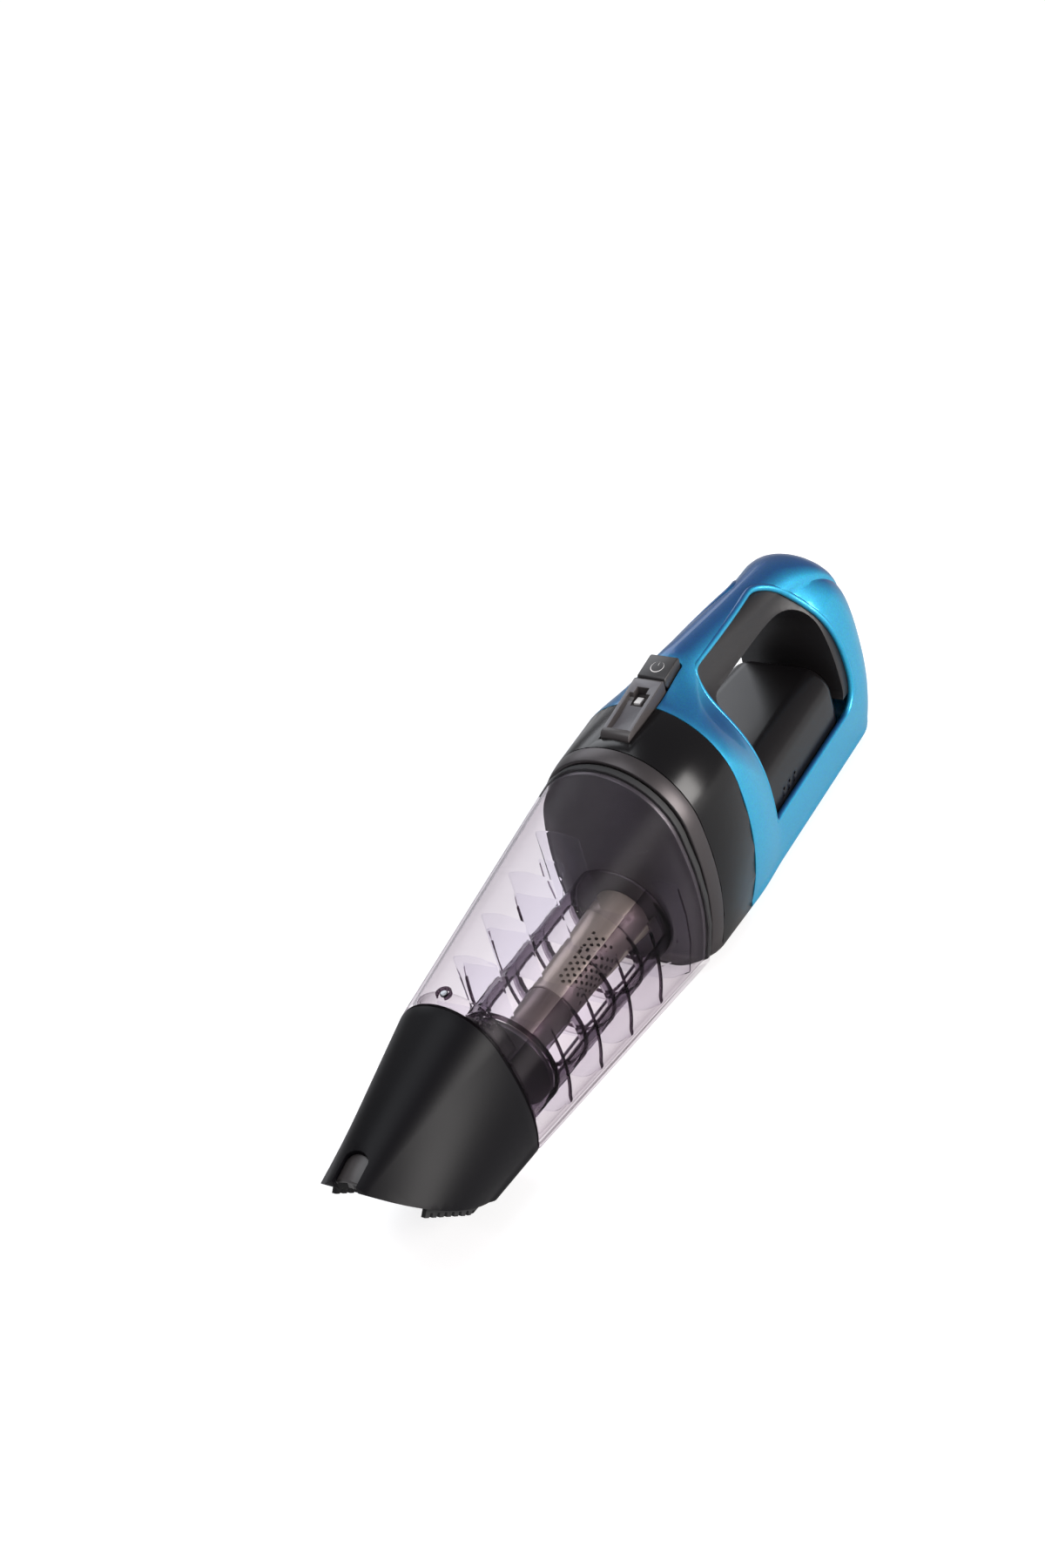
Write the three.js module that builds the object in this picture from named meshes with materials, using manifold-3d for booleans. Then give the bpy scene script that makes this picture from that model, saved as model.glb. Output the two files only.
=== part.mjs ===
// Cordless handheld vacuum cleaner.
// Millimetres. +Z is up, +X runs from the nozzle to the handle, -Y is the left-hand side.
// The origin is on the flat underside, below the joint between the dust bin and the body.

import * as THREE from 'three';
import { mergeVertices } from 'three/addons/utils/BufferGeometryUtils.js';
import Module from 'manifold-3d';

const wasm = await Module();
wasm.setup();

// ---------------------------------------------------------------- driving dimensions

const gap = 0.3;               // clearance between pieces that touch

const nozzleLength = 88.5;      // bin rim to nozzle tip
const binLength = 153;         // body flange to the nozzle's rim
const bodyLength = 210;        // body flange to the back of the handle

const bodyAxis = 80;           // height of the centre of the body's round top
const bodyRound = 45;          // radius of that top on the housing
const bodyHalfWidth = 44.5;    // half width low on the housing's side
const bodyFoot = 34;           // half width at the housing's lower corner
const filterAxis = 40.5;       // height of the filter's centre line
const motorAxis = 41;          // height of the motor's centre line

const binWall = 2;
const caseWall = 2.4;
const rearWall = 6;            // thickness of the handle frame at its rounded back
const nozzleWall = 2.2;

const bandLength = 9;          // satin ring at the body's flange
const housingEnd = 42;         // where the black housing meets the handle frame
const windowFront = 73;        // front edge of the handle's side window
const windowBack = bodyLength - 36;
const windowTop = 124;
const windowFloor = 34.5;

const gripHalfWidth = 13;
const gripTop = 133;           // height of the grip where it starts
const tunnelTop = 105;         // underside of the grip
const barrelTop = 67;          // floor of the finger gap
const barrelEnd = bodyLength - 52;

const cageRadius = 27.5;
const cageWall = 1.6;
const cageFront = -148.4;      // end of the cage's plain collar
const cageBack = -22;
const tubeRadius = 13.8;
const tubeWall = 0.8;
const tubeBack = -38;
const levelPitch = 26;         // spacing of the cage's rings and of the baffle plates
const levelCount = 5;
const firstLevel = -121;
const plateThickness = 1.2;

const latchWidth = 16;
const latchFront = 16;
const latchBack = 54;
const buttonBack = 70;
const buttonTravel = 2;

// ---------------------------------------------------------------- solids

function solid(geometry) {
  const bare = geometry.index ? geometry.toNonIndexed() : geometry.clone();
  bare.deleteAttribute('normal');
  bare.deleteAttribute('uv');
  const merged = mergeVertices(bare, 1e-4);
  return new wasm.Manifold(new wasm.Mesh({
    numProp: 3,
    vertProperties: new Float32Array(merged.attributes.position.array),
    triVerts: new Uint32Array(merged.index.array),
  }));
}

function geometryOf(body) {
  const mesh = body.getMesh();
  const geometry = new THREE.BufferGeometry();
  geometry.setAttribute('position', new THREE.BufferAttribute(new Float32Array(mesh.vertProperties), 3));
  geometry.setIndex(new THREE.BufferAttribute(new Uint32Array(mesh.triVerts), 1));
  geometry.computeVertexNormals();
  return geometry;
}

function cut(body, ...tools) {
  return tools.reduce((left, tool) => left.subtract(tool), body);
}

function join(body, ...others) {
  return others.reduce((left, other) => left.add(other), body);
}

// A block between two opposite corners.
function block(x0, y0, z0, x1, y1, z1) {
  const geometry = new THREE.BoxGeometry(x1 - x0, y1 - y0, z1 - z0);
  geometry.translate((x0 + x1) / 2, (y0 + y1) / 2, (z0 + z1) / 2);
  return solid(geometry);
}

// A round bar along X.
function rodX(radius, x0, x1, y, z, sides = 32) {
  const geometry = new THREE.CylinderGeometry(radius, radius, x1 - x0, sides);
  geometry.rotateZ(-Math.PI / 2);
  geometry.translate((x0 + x1) / 2, y, z);
  return solid(geometry);
}

// A round bar along Y.
function rodY(radius, y0, y1, x, z, sides = 16) {
  const geometry = new THREE.CylinderGeometry(radius, radius, y1 - y0, sides);
  geometry.translate(x, (y0 + y1) / 2, z);
  return solid(geometry);
}

// A round bar along Z.
function rodZ(radius, z0, z1, x, y, sides = 24) {
  const geometry = new THREE.CylinderGeometry(radius, radius, z1 - z0, sides);
  geometry.rotateX(Math.PI / 2);
  geometry.translate(x, y, (z0 + z1) / 2);
  return solid(geometry);
}

// A side-view outline (x, z) pushed through from y0 to y1.
function sideCut(shape, y0, y1, curveSegments = 10) {
  const geometry = new THREE.ExtrudeGeometry(shape, { depth: y1 - y0, bevelEnabled: false, curveSegments });
  geometry.rotateX(Math.PI / 2);
  geometry.translate(0, y1, 0);
  return solid(geometry);
}

// A front-view outline (y, z) pushed through from x0 to x1.
function frontCut(shape, x0, x1, curveSegments = 10) {
  const geometry = new THREE.ExtrudeGeometry(shape, { depth: x1 - x0, bevelEnabled: false, curveSegments });
  geometry.applyMatrix4(new THREE.Matrix4().makeBasis(
    new THREE.Vector3(0, 1, 0), new THREE.Vector3(0, 0, 1), new THREE.Vector3(1, 0, 0)));
  geometry.translate(x0, 0, 0);
  return solid(geometry);
}

// A body through a row of sections: a round bar is extruded in as many steps as there are
// sections, and each of its points moves out to the same point of its own section.
function loft(sections) {
  const sides = sections[0].outline.length;
  const circle = new THREE.Shape();
  for (let i = 0; i < sides; i += 1) {
    const turn = i / sides * 2 * Math.PI;
    const method = i === 0 ? 'moveTo' : 'lineTo';
    circle[method](Math.cos(turn), Math.sin(turn));
  }
  const steps = sections.length - 1;
  const geometry = new THREE.ExtrudeGeometry(circle, { depth: 1, steps, bevelEnabled: false });
  const points = geometry.attributes.position;
  for (let i = 0; i < points.count; i += 1) {
    const section = sections[Math.round(points.getZ(i) * steps)];
    const turn = Math.atan2(points.getY(i), points.getX(i)) / (2 * Math.PI);
    const place = section.outline[(Math.round(turn * sides) + sides) % sides];
    points.setXYZ(i, section.x, place.x, place.y);
  }
  return solid(geometry);
}

function mix(a, b, t) {
  return a + (b - a) * t;
}

function clamp01(t) {
  return Math.min(1, Math.max(0, t));
}

function smooth(t) {
  const s = clamp01(t);
  return s * s * (3 - 2 * s);
}

function mixAll(a, b, t) {
  return Object.fromEntries(Object.keys(a).map((key) => [key, mix(a[key], b[key], t)]));
}

// ---------------------------------------------------------------- the body's section

// The bin, the nozzle and the body share one kind of section: a round top, sides that lean
// in below, soft lower corners and a shallow belly with a flat strip along the middle.
//   r, centre   the round top
//   wide        half width at the widest place, low on the side
//   foot        half width at the lower corner, at height corner
//   floor       height of the flat strip
const flatHalf = 14;
const cornerRadius = 5;
const arcSteps = 10;
const sideSteps = 4;
const cornerSteps = 2;
const bellySteps = 2;

const noseSection = { r: 17, centre: 57.5, wide: 33, foot: 27, corner: 18, floor: 10 };
const rimSection = { r: 29.5, centre: 70.5, wide: 35, foot: 32.3, corner: 19, floor: 10 };
const flangeSection = {
  r: bodyRound - 3.5, centre: bodyAxis, wide: bodyHalfWidth - 0.7, foot: bodyFoot + 2.5, corner: 7.5, floor: 0.8,
};
const bandSection = {
  r: bodyRound - 1.8, centre: bodyAxis, wide: bodyHalfWidth - 0.2, foot: bodyFoot + 2, corner: 6, floor: 0,
};
const housingSection = {
  r: bodyRound, centre: bodyAxis, wide: bodyHalfWidth, foot: bodyFoot, corner: 3.8, floor: 0,
};

function quadratic(a, b, c, steps) {
  return new THREE.QuadraticBezierCurve(a, b, c).getPoints(steps);
}

function cubic(a, b, c, d, steps) {
  return new THREE.CubicBezierCurve(a, b, c, d).getPoints(steps);
}

function vec(x, y) {
  return new THREE.Vector2(x, y);
}

function inset(s, wall) {
  return {
    ...s,
    r: s.r - wall,
    wide: s.wide - wall,
    foot: s.foot - wall,
    corner: s.corner + wall,
    floor: s.floor + wall,
  };
}

// Point that pulls the side out to its widest place.
function sidePull(s) {
  return vec(2 * s.wide - (s.r + s.foot) / 2, (s.centre + s.corner + cornerRadius) / 2);
}

// Right half of the lower outline, from the end of the top round the side to the flat strip.
function lowerHalf(start, pull, s) {
  const sideEnd = vec(s.foot, s.corner + cornerRadius);
  const side = quadratic(start, pull, sideEnd, sideSteps);
  const cornerEnd = vec(s.foot - cornerRadius, s.corner - 1);
  const corner = quadratic(sideEnd, vec(s.foot, s.corner), cornerEnd, cornerSteps);
  const flat = Math.min(flatHalf, cornerEnd.x * 0.8);
  const belly = quadratic(cornerEnd, vec((cornerEnd.x + flat) / 2, s.floor), vec(flat, s.floor), bellySteps);
  return [...side.slice(1), ...corner.slice(1), ...belly.slice(1)];
}

// A closed outline, counter-clockwise seen from +X, from its upper right half and lower right half.
function closed(upper, lower) {
  const mirror = (p) => vec(-p.x, p.y);
  return [
    ...upper,
    ...upper.slice(0, -1).reverse().map(mirror),
    ...lower.map(mirror),
    ...lower.slice().reverse(),
  ];
}

// The round top ends where the line to the side's pull touches it, so that the two run on smoothly.
function bodyOutline(s) {
  const pull = sidePull(s);
  const away = vec(pull.x, pull.y - s.centre);
  const start = Math.atan2(away.y, away.x) + Math.acos(Math.min(1, s.r / away.length()));
  const upper = [];
  for (let i = 0; i <= arcSteps; i += 1) {
    const turn = mix(start, Math.PI / 2, i / arcSteps);
    upper.push(vec(s.r * Math.cos(turn), s.centre + s.r * Math.sin(turn)));
  }
  return closed(upper, lowerHalf(upper[0], pull, s));
}

function station(x, s, wall = 0) {
  return { x, outline: bodyOutline(inset(s, wall)) };
}

// The bin's section at x, from the nozzle's rim to the body's flange.
function binSection(x) {
  return mixAll(rimSection, flangeSection, (x + binLength) / binLength);
}

const loftPitch = 26;

// Stations from x0 to x1, close enough that the faces between them stay true.
function spread(x0, x1) {
  const steps = Math.ceil((x1 - x0) / loftPitch);
  return Array.from({ length: steps + 1 }, (unused, i) => mix(x0, x1, i / steps));
}

function binLoft(x0, x1, wall = 0) {
  return loft(spread(x0, x1).map((x) => station(x, binSection(x), wall)));
}

// ---------------------------------------------------------------- nozzle

const nozzleTip = -binLength - nozzleLength;
const nozzleRim = -binLength - 0.6;
const mouthTop = 69.5;          // height of the mouth's edge at the tip
const mouthBack = -binLength - 31;        // where the mouth's edge reaches the underside
const mouthBulge = 6.5;        // pull of the mouth's edge outwards
const slotHalfWidth = 6.5;
const slotEnd = -226;

function nozzleSection(x) {
  return mixAll(noseSection, rimSection, (x - nozzleTip) / nozzleLength);
}

function nozzleLoft(x0, x1, wall) {
  return loft(spread(x0, x1).map((x) => station(x, nozzleSection(x), wall)));
}

const mouthSlope = Math.atan2(mouthTop - noseSection.corner, mouthBack - nozzleTip);
const mouthLength = Math.hypot(mouthTop - noseSection.corner, mouthBack - nozzleTip);

// Everything in front of and below the mouth's slanted, slightly bulging edge, moved out by a distance.
function mouthSide(offset) {
  const reach = 100;
  const along = vec(Math.cos(mouthSlope), -Math.sin(mouthSlope));
  const away = vec(-Math.sin(mouthSlope), -Math.cos(mouthSlope));
  const tip = vec(nozzleTip, mouthTop).addScaledVector(away, offset);
  const heel = vec(mouthBack, noseSection.corner).addScaledVector(away, offset);
  const bulge = tip.clone().lerp(heel, 0.38).addScaledVector(away, mouthBulge);
  const before = tip.clone().addScaledVector(along, -reach);
  const after = heel.clone().addScaledVector(along, reach);
  const shape = new THREE.Shape();
  shape.moveTo(before.x, before.y);
  shape.lineTo(tip.x, tip.y);
  shape.quadraticCurveTo(bulge.x, bulge.y, heel.x, heel.y);
  shape.lineTo(after.x, after.y);
  shape.lineTo(after.x + away.x * reach, after.y + away.y * reach);
  shape.lineTo(before.x + away.x * reach, before.y + away.y * reach);
  shape.closePath();
  return sideCut(shape, -reach, reach, 8);
}

function nozzleShell() {
  const outer = nozzleLoft(nozzleTip, nozzleRim, 0);
  const inner = nozzleLoft(nozzleTip + nozzleWall, nozzleRim + 1, nozzleWall);
  const slot = block(nozzleTip - 5, -slotHalfWidth, mouthTop - 15, slotEnd, slotHalfWidth, 110);
  return cut(outer, inner, mouthSide(0), slot);
}

// The small keyed tongue that sits just under the slot in the nozzle's tip.
function nozzleTongue() {
  const inner = nozzleLoft(nozzleTip + nozzleWall, slotEnd + 8, nozzleWall + gap);
  const below = nozzleLoft(nozzleTip - 1, slotEnd + 9, nozzleWall + gap + 2);
  const strip = block(nozzleTip + 3, -slotHalfWidth - 3, mouthTop - 9, slotEnd + 8, slotHalfWidth + 3, 110);
  const plate = cut(inner, below).intersect(strip);
  const rib = block(slotEnd - 12, -1.5, mouthTop - 4, slotEnd - 2, 1.5, 110).intersect(inner);
  return cut(join(plate, rib), mouthSide(-1.5));
}

// Rubber comb along one edge of the mouth: a strip with nine teeth that reach past the edge.
function combStrip(side) {
  const teeth = 9;
  const pitch = mouthLength * 0.07;
  const root = 4;
  const reach = 7.6;
  const shape = new THREE.Shape();
  shape.moveTo(0, root);
  shape.lineTo(0, -reach);
  for (let i = 0; i < teeth; i += 1) {
    const x = i * pitch;
    shape.lineTo(x + pitch * 0.55, -reach);
    if (i < teeth - 1) {
      shape.lineTo(x + pitch * 0.62, -reach + 2.2);
      shape.lineTo(x + pitch * 0.93, -reach + 2.2);
      shape.lineTo(x + pitch, -reach);
    }
  }
  const length = (teeth - 1) * pitch + pitch * 0.55;
  shape.lineTo(length, root);
  const strip = new THREE.ExtrudeGeometry(shape, { depth: 2.4, bevelEnabled: false });
  strip.rotateX(Math.PI / 2);
  strip.translate(0, 1.2, 0);
  const startX = mix(nozzleTip, mouthBack, 0.33);
  const along = startX - nozzleTip;
  const start = new THREE.Vector3(startX, 0, mouthTop - along * Math.tan(mouthSlope));
  const endX = startX + length * Math.cos(mouthSlope);
  const combInset = nozzleWall + gap + 1.4;
  const y0 = widthAt(nozzleSection(startX), start.z) - combInset;
  const y1 = widthAt(nozzleSection(endX), start.z - length * Math.sin(mouthSlope)) - combInset;
  strip.rotateY(mouthSlope);
  strip.rotateZ(side * Math.atan2(y1 - y0, endX - startX));
  strip.translate(start.x, side * Math.min(y0, y1), start.z);
  return cut(solid(strip), nozzleShellWall());
}

// Half width of a section at a height.
function widthAt(s, z) {
  const outline = bodyOutline(s).filter((p) => p.x > 0);
  outline.sort((a, b) => b.y - a.y);
  for (let i = 0; i + 1 < outline.length; i += 1) {
    const [a, b] = [outline[i], outline[i + 1]];
    if (z <= a.y && z >= b.y && a.y > b.y) {
      return mix(a.x, b.x, (a.y - z) / (a.y - b.y));
    }
  }
  return s.foot;
}

// The nozzle's wall with its clearance, for trimming what sits against it.
function nozzleShellWall() {
  const outer = nozzleLoft(nozzleTip - 1, nozzleRim, -3);
  const inner = nozzleLoft(nozzleTip - 2, nozzleRim + 1, nozzleWall + 2 * gap);
  return cut(outer, inner);
}

function nozzleSeal() {
  const x0 = nozzleRim + gap;
  const x1 = -binLength + 1.2;
  return cut(binLoft(x0, x1, 0.5), binLoft(x0 - 1, x1 + 1, 3.4));
}

// ---------------------------------------------------------------- dust bin

const binFront = -binLength + 1.2 + gap;
const binBack = -4;

function binShell() {
  const outer = binLoft(binFront, binBack, 0);
  const inner = binLoft(binFront - 1, binBack + 1, binWall);
  const wall = cut(outer, inner);
  const rimOuter = binLoft(binBack - 5, binBack, -0.9);
  const rimInner = binLoft(binBack - 6, binBack + 1, 1);
  const loop = rimLoop();
  return join(wall, cut(rimOuter, rimInner), loop);
}

const pinX = -146;

function binTopAt(x) {
  const s = binSection(x);
  return s.centre + s.r;
}

// Clear C-shaped lug round the catch pin on the bin's front rim.
function rimLoop() {
  const z = binTopAt(pinX);
  const ring = cut(rodZ(5.2, z - 0.7, z + 3.4, pinX, 0), rodZ(3.2, z - 3, z + 5, pinX, 0));
  return cut(ring, block(pinX - 9, -3, z - 3, pinX - 1.5, 3, z + 6));
}

function catchPin() {
  const z = binTopAt(pinX) + 0.6;
  const stem = rodZ(1.9, z, z + 3.6, pinX, 0, 20);
  const head = rodZ(2.7, z + 3.6, z + 5, pinX, 0, 20);
  return join(stem, head);
}

function binSeal() {
  return cut(binLoft(binBack + gap, -gap, 1.1), binLoft(binBack - 1, 1, 4.4));
}

// Plate across the bin's front end, with the air inlet above the filter.
const plateFront = binFront + 0.8;
const plateBack = plateFront + 2;
const inletHalfWidth = 13;
const inletBottom = 71;
const inletTop = 85;
const flapHingeX = plateBack + 2.2;
const flapHingeZ = 88;

function inletPlate() {
  const plate = binLoft(plateFront, plateBack, binWall + gap + 0.1);
  const port = block(plateFront - 1, -inletHalfWidth, inletBottom, plateBack + 1, inletHalfWidth, inletTop);
  const ears = [-1, 1].map((side) => {
    const y = side * (inletHalfWidth + 2);
    return block(plateBack - 1, y - 1, flapHingeZ - 2, flapHingeX + 1.5, y + 1, flapHingeZ + 2);
  });
  const skirt = binLoft(plateFront, plateBack + 6, binWall + gap);
  const collar = cut(skirt, binLoft(plateFront - 1, plateBack + 7, binWall + gap + 1.6));
  const lower = block(plateFront - 2, -60, -10, plateBack + 9, 60, shoulderHeight + 4);
  return cut(join(plate, cut(collar, lower), ...ears), port,
    rodY(1.3, -30, 30, flapHingeX, flapHingeZ));
}

function inletFlap() {
  const half = inletHalfWidth + 0.4;
  const leaf = block(plateBack + gap, -half, inletBottom - 2, plateBack + gap + 1.3, half, flapHingeZ);
  const barrel = rodY(1.7, -half, half, flapHingeX, flapHingeZ);
  const pin = rodY(1, -inletHalfWidth - 3, inletHalfWidth + 3, flapHingeX, flapHingeZ);
  return join(leaf, barrel, pin);
}

// ---------------------------------------------------------------- cyclone filter

const levels = Array.from({ length: levelCount }, (unused, i) => firstLevel + i * levelPitch);
const coneBack = -4;

function tube(radius, wall, x0, x1, sides = 48) {
  return cut(rodX(radius, x0, x1, 0, filterAxis, sides),
    rodX(radius - wall, x0 - 1, x1 + 1, 0, filterAxis, sides));
}

// A wedge of angle a0..a1 (degrees, 0 at +Y, 90 at the top) round the filter's axis.
function wedge(x0, x1, r0, r1, a0, a1) {
  const shape = new THREE.Shape();
  const rad = Math.PI / 180;
  shape.absarc(0, filterAxis, r1, a0 * rad, a1 * rad, false);
  shape.absarc(0, filterAxis, r0, a1 * rad, a0 * rad, true);
  shape.closePath();
  return frontCut(shape, x0, x1, 4);
}

// Clear cage round the filter tube: a plain collar at the nozzle end, a plain roof, and
// rows of windows on the lower half between its rings.
function filterCage() {
  const shell = tube(cageRadius, cageWall, cageFront, cageBack);
  const openings = [];
  for (let i = 0; i + 1 < levels.length; i += 1) {
    const x0 = levels[i] + 2.4;
    const x1 = levels[i + 1] - 2.4;
    for (const [a0, a1] of [[10, 28], [-32, -12], [-82, -36]]) {
      const r0 = cageRadius - cageWall - 2;
      const r1 = cageRadius + 2;
      openings.push(wedge(x0, x1, r0, r1, a0, a1));
      openings.push(wedge(x0, x1, r0, r1, 180 - a1, 180 - a0));
    }
  }
  return cut(shell, ...openings);
}

function cageEnd() {
  const disc = rodX(cageRadius - cageWall - gap, firstLevel - 4, firstLevel - 1.5, 0, filterAxis, 48);
  const boss = rodX(tubeRadius - tubeWall - gap, firstLevel - 2, firstLevel + 5, 0, filterAxis, 32);
  const hollow = rodX(tubeRadius - tubeWall - 2, firstLevel - 1, firstLevel + 6, 0, filterAxis, 32);
  return cut(join(disc, boss), hollow);
}

// One baffle plate: it fills the bin's section beside and below the cage, and a tongue
// reaches up to the bin's roof.
const tongueHalfWidth = 12;
const shoulderHeight = filterAxis + cageRadius;

function bafflePlate(x, hasTongue) {
  const x0 = x - plateThickness / 2;
  const x1 = x + plateThickness / 2;
  const plate = binLoft(x0, x1, binWall + 0.7);
  const shoulders = [-1, 1].map((side) => {
    const inner = hasTongue ? tongueHalfWidth : 0;
    const y0 = side > 0 ? inner : -60;
    const y1 = side > 0 ? 60 : -inner;
    return block(x0 - 1, y0, shoulderHeight, x1 + 1, y1, 140);
  });
  return cut(plate, ...shoulders, rodX(cageRadius + gap, x0 - 1, x1 + 1, 0, filterAxis, 48),
    coneLoft(-gap));
}

const holePitch = 4.3;
const holeRows = 8;
const holeColumns = 6;
const holeRadius = 0.95;
const patchBack = -44;

// Steel filter tube with a diamond patch of holes on its upper left side.
function filterTube() {
  const body = tube(tubeRadius, tubeWall, firstLevel, tubeBack - gap, 40);
  const seam = cut(rodX(tubeRadius + 0.35, -84.5, -83.3, 0, filterAxis, 48),
    rodX(tubeRadius - tubeWall / 2, -86, -82, 0, filterAxis, 48));
  const holes = [];
  for (let row = 0; row < holeRows; row += 1) {
    for (let column = 0; column < holeColumns; column += 1) {
      const x = patchBack - (row + (column % 2) / 2) * holePitch;
      const turn = (150 + (column - (holeColumns - 1) / 2) * 15) * Math.PI / 180;
      const hole = new THREE.CylinderGeometry(holeRadius, holeRadius, 4, 6);
      hole.translate(0, tubeRadius, 0);
      hole.rotateX(turn - Math.PI / 2);
      hole.translate(x, 0, filterAxis);
      holes.push(solid(hole));
    }
  }
  return cut(join(body, seam), ...holes);
}

// Height about which the flange's outline is turned into a circle.
const sectionMiddle = (bodyAxis + bodyRound) * 0.36;

// Dark cone that closes the bin's back end and narrows to the filter tube.
function circleSection(x, radius) {
  return { x, outline: circleOutline(radius) };
}

function circleOutline(radius) {
  return bodyOutline(flangeSection).map((p) => {
    const turn = Math.atan2(p.y - sectionMiddle, p.x);
    return vec(radius * Math.cos(turn), filterAxis + radius * Math.sin(turn));
  });
}

function coneLoft(wall) {
  const rim = station(coneBack, binSection(coneBack), binWall + gap + wall);
  const lip = station(-6.5, binSection(-6.5), binWall + gap + wall);
  return loft([
    circleSection(tubeBack, 14.4 - wall),
    circleSection(cageBack - 1.5, cageRadius - cageWall - gap - wall),
    circleSection(cageBack + gap, cageRadius - cageWall - gap - wall),
    circleSection(cageBack + gap + 0.1, cageRadius + 0.6 - wall),
    lip,
    rim,
  ]);
}

function filterCone() {
  const inner = loft([
    circleSection(tubeBack - 1, 12.2),
    circleSection(cageBack, cageRadius - cageWall - gap - 2),
    station(-5, binSection(-6.5), binWall + gap + 2.2),
    station(1, binSection(-4), binWall + gap + 2.2),
  ]);
  return cut(coneLoft(0), inner);
}

// Pleated filter behind the cone: a star-shaped ring between two end plates.
function pleatedFilter() {
  const pleats = 22;
  const star = new THREE.Shape();
  for (let i = 0; i < pleats * 2; i += 1) {
    const turn = i / (pleats * 2) * 2 * Math.PI;
    const radius = i % 2 ? 24 : 19;
    const method = i === 0 ? 'moveTo' : 'lineTo';
    star[method](radius * Math.cos(turn), motorAxis + radius * Math.sin(turn));
  }
  const paper = frontCut(star, -12, 10);
  const core = rodX(16, -9.5, 12, 0, motorAxis, 32);
  const plate = rodX(26, -13.5, -11.5, 0, motorAxis, 40);
  const flange = rodX(28.5, 9, 11.5, 0, motorAxis, 40);
  return cut(join(paper, plate, flange), core);
}

// ---------------------------------------------------------------- handle frame

// Section of the handle's envelope: the body's lower half, sides that run up into a narrow
// grip, and a round grip top.
const gripSideSteps = 6;
const gripTopSteps = arcSteps - gripSideSteps;

const topRound = bodyLength - 44;     // where the handle's top starts to curve down at the back
const planRound = bodyLength - 28;    // where its sides start to close in
const floorRound = bodyLength - 24;   // where its underside starts to curve up
const gripRound = bodyLength - 18;    // where the grip starts to close in
const backHeight = 62;                // height of the rearmost point
const footTaper = 0.07;               // how fast the lower corner comes in along the handle
const waistHeight = 50;
const frontHalfWidth = 38.5;          // half width at the window's front edge
const backHalfWidth = 31;             // half width at the window's back edge
const gripDrop = 11.5;                // how far the grip falls towards the back

function easeOff(x, start) {
  const t = clamp01((x - start) / (bodyLength - start));
  return Math.sqrt(Math.max(0, 1 - t * t));
}

function handleValues(x) {
  const along = (x - windowFront) / (windowBack - windowFront);
  const front = clamp01((x - housingEnd) / (windowFront - housingEnd));
  const plan = Math.max(0.25, easeOff(x, planRound));
  const top = Math.max(0.2, easeOff(x, topRound));
  const floor = Math.max(0.2, easeOff(x, floorRound));
  const wide = x < windowFront
    ? mix(bodyHalfWidth, frontHalfWidth, front)
    : mix(frontHalfWidth, backHalfWidth, along);
  const crest = x < windowFront ? gripTop : mix(gripTop, gripTop - gripDrop, clamp01(along));
  return {
    wide: wide * plan,
    waist: waistHeight,
    foot: Math.max(6, (bodyFoot - (x - housingEnd) * footTaper) * plan),
    corner: mix(backHeight, 3.8, floor),
    floor: mix(backHeight, 0, floor),
    grip: gripHalfWidth * Math.max(0.35, easeOff(x, gripRound)),
    top: mix(backHeight, crest, top),
    shoulder: mix(48, 22, clamp01(along)),
  };
}

function handleOutline(x, wall) {
  const h = handleValues(x);
  const top = h.top - wall;
  const grip = h.grip - wall;
  const gripSide = vec(grip, top - Math.min(13 - wall, (top - h.waist) * 0.4));
  const start = vec(h.wide - wall, Math.min(h.waist, gripSide.y - 6));
  const rise = gripSide.y - start.y;
  const side = cubic(start, vec(start.x, start.y + Math.min(h.shoulder, rise * 0.66)),
    vec(grip + 0.5, gripSide.y - rise * 0.3), gripSide, gripSideSteps);
  const upper = [...side];
  for (let i = 1; i <= gripTopSteps; i += 1) {
    const turn = i / gripTopSteps * Math.PI / 2;
    upper.push(vec(grip * Math.cos(turn), gripSide.y + (top - gripSide.y) * Math.sin(turn)));
  }
  const foot = { foot: h.foot - wall, corner: h.corner + wall, floor: h.floor + wall };
  const pull = vec(start.x, (start.y + foot.corner + cornerRadius) / 2);
  const lower = lowerHalf(start, pull, foot);
  return closed(upper, lower);
}

const blendEnd = windowFront + 7;

function handleStation(x, wall) {
  const bell = handleOutline(x, wall);
  const t = smooth((x - housingEnd) / (blendEnd - housingEnd));
  if (t >= 1) {
    return { x, outline: bell };
  }
  const plain = bodyOutline(inset(housingSection, wall));
  return { x, outline: plain.map((p, i) => vec(mix(p.x, bell[i].x, t), mix(p.y, bell[i].y, t))) };
}

// Stations along the handle: even at first, and closer together where the back rounds off.
const handleStations = [
  ...[0, 6, 12, 18, 24, 31, 38, 56, 80, 104].map((step) => housingEnd + step),
  ...[44, 33, 23, 15, 9, 4.5, 1.6, 0].map((rest) => bodyLength - rest),
];

function handleLoft(wall, x0 = housingEnd, x1 = bodyLength) {
  const inside = handleStations.filter((x) => x > x0 + 0.5 && x < x1 - 0.5);
  return loft([x0, ...inside, x1].map((x) => handleStation(x, wall)));
}

// Side window, grown outwards by a margin.
function windowShape(margin = 0) {
  const x0 = windowFront - margin;
  const x1 = windowBack + margin;
  const z0 = windowFloor - margin;
  const z1 = windowTop + margin;
  const shape = new THREE.Shape();
  shape.moveTo(x0 + 5, z0);
  shape.lineTo(x1 - 24, z0);
  shape.quadraticCurveTo(x1, z0, x1, z0 + 26);
  shape.bezierCurveTo(x1, z0 + 54, x1 - 14, z1 - 1, x1 - 36, z1 - 1);
  shape.lineTo(x0 + 6, z1);
  shape.quadraticCurveTo(x0, z1, x0, z1 - 6);
  shape.lineTo(x0, z0 + 5);
  shape.quadraticCurveTo(x0, z0, x0 + 5, z0);
  return shape;
}

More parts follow.
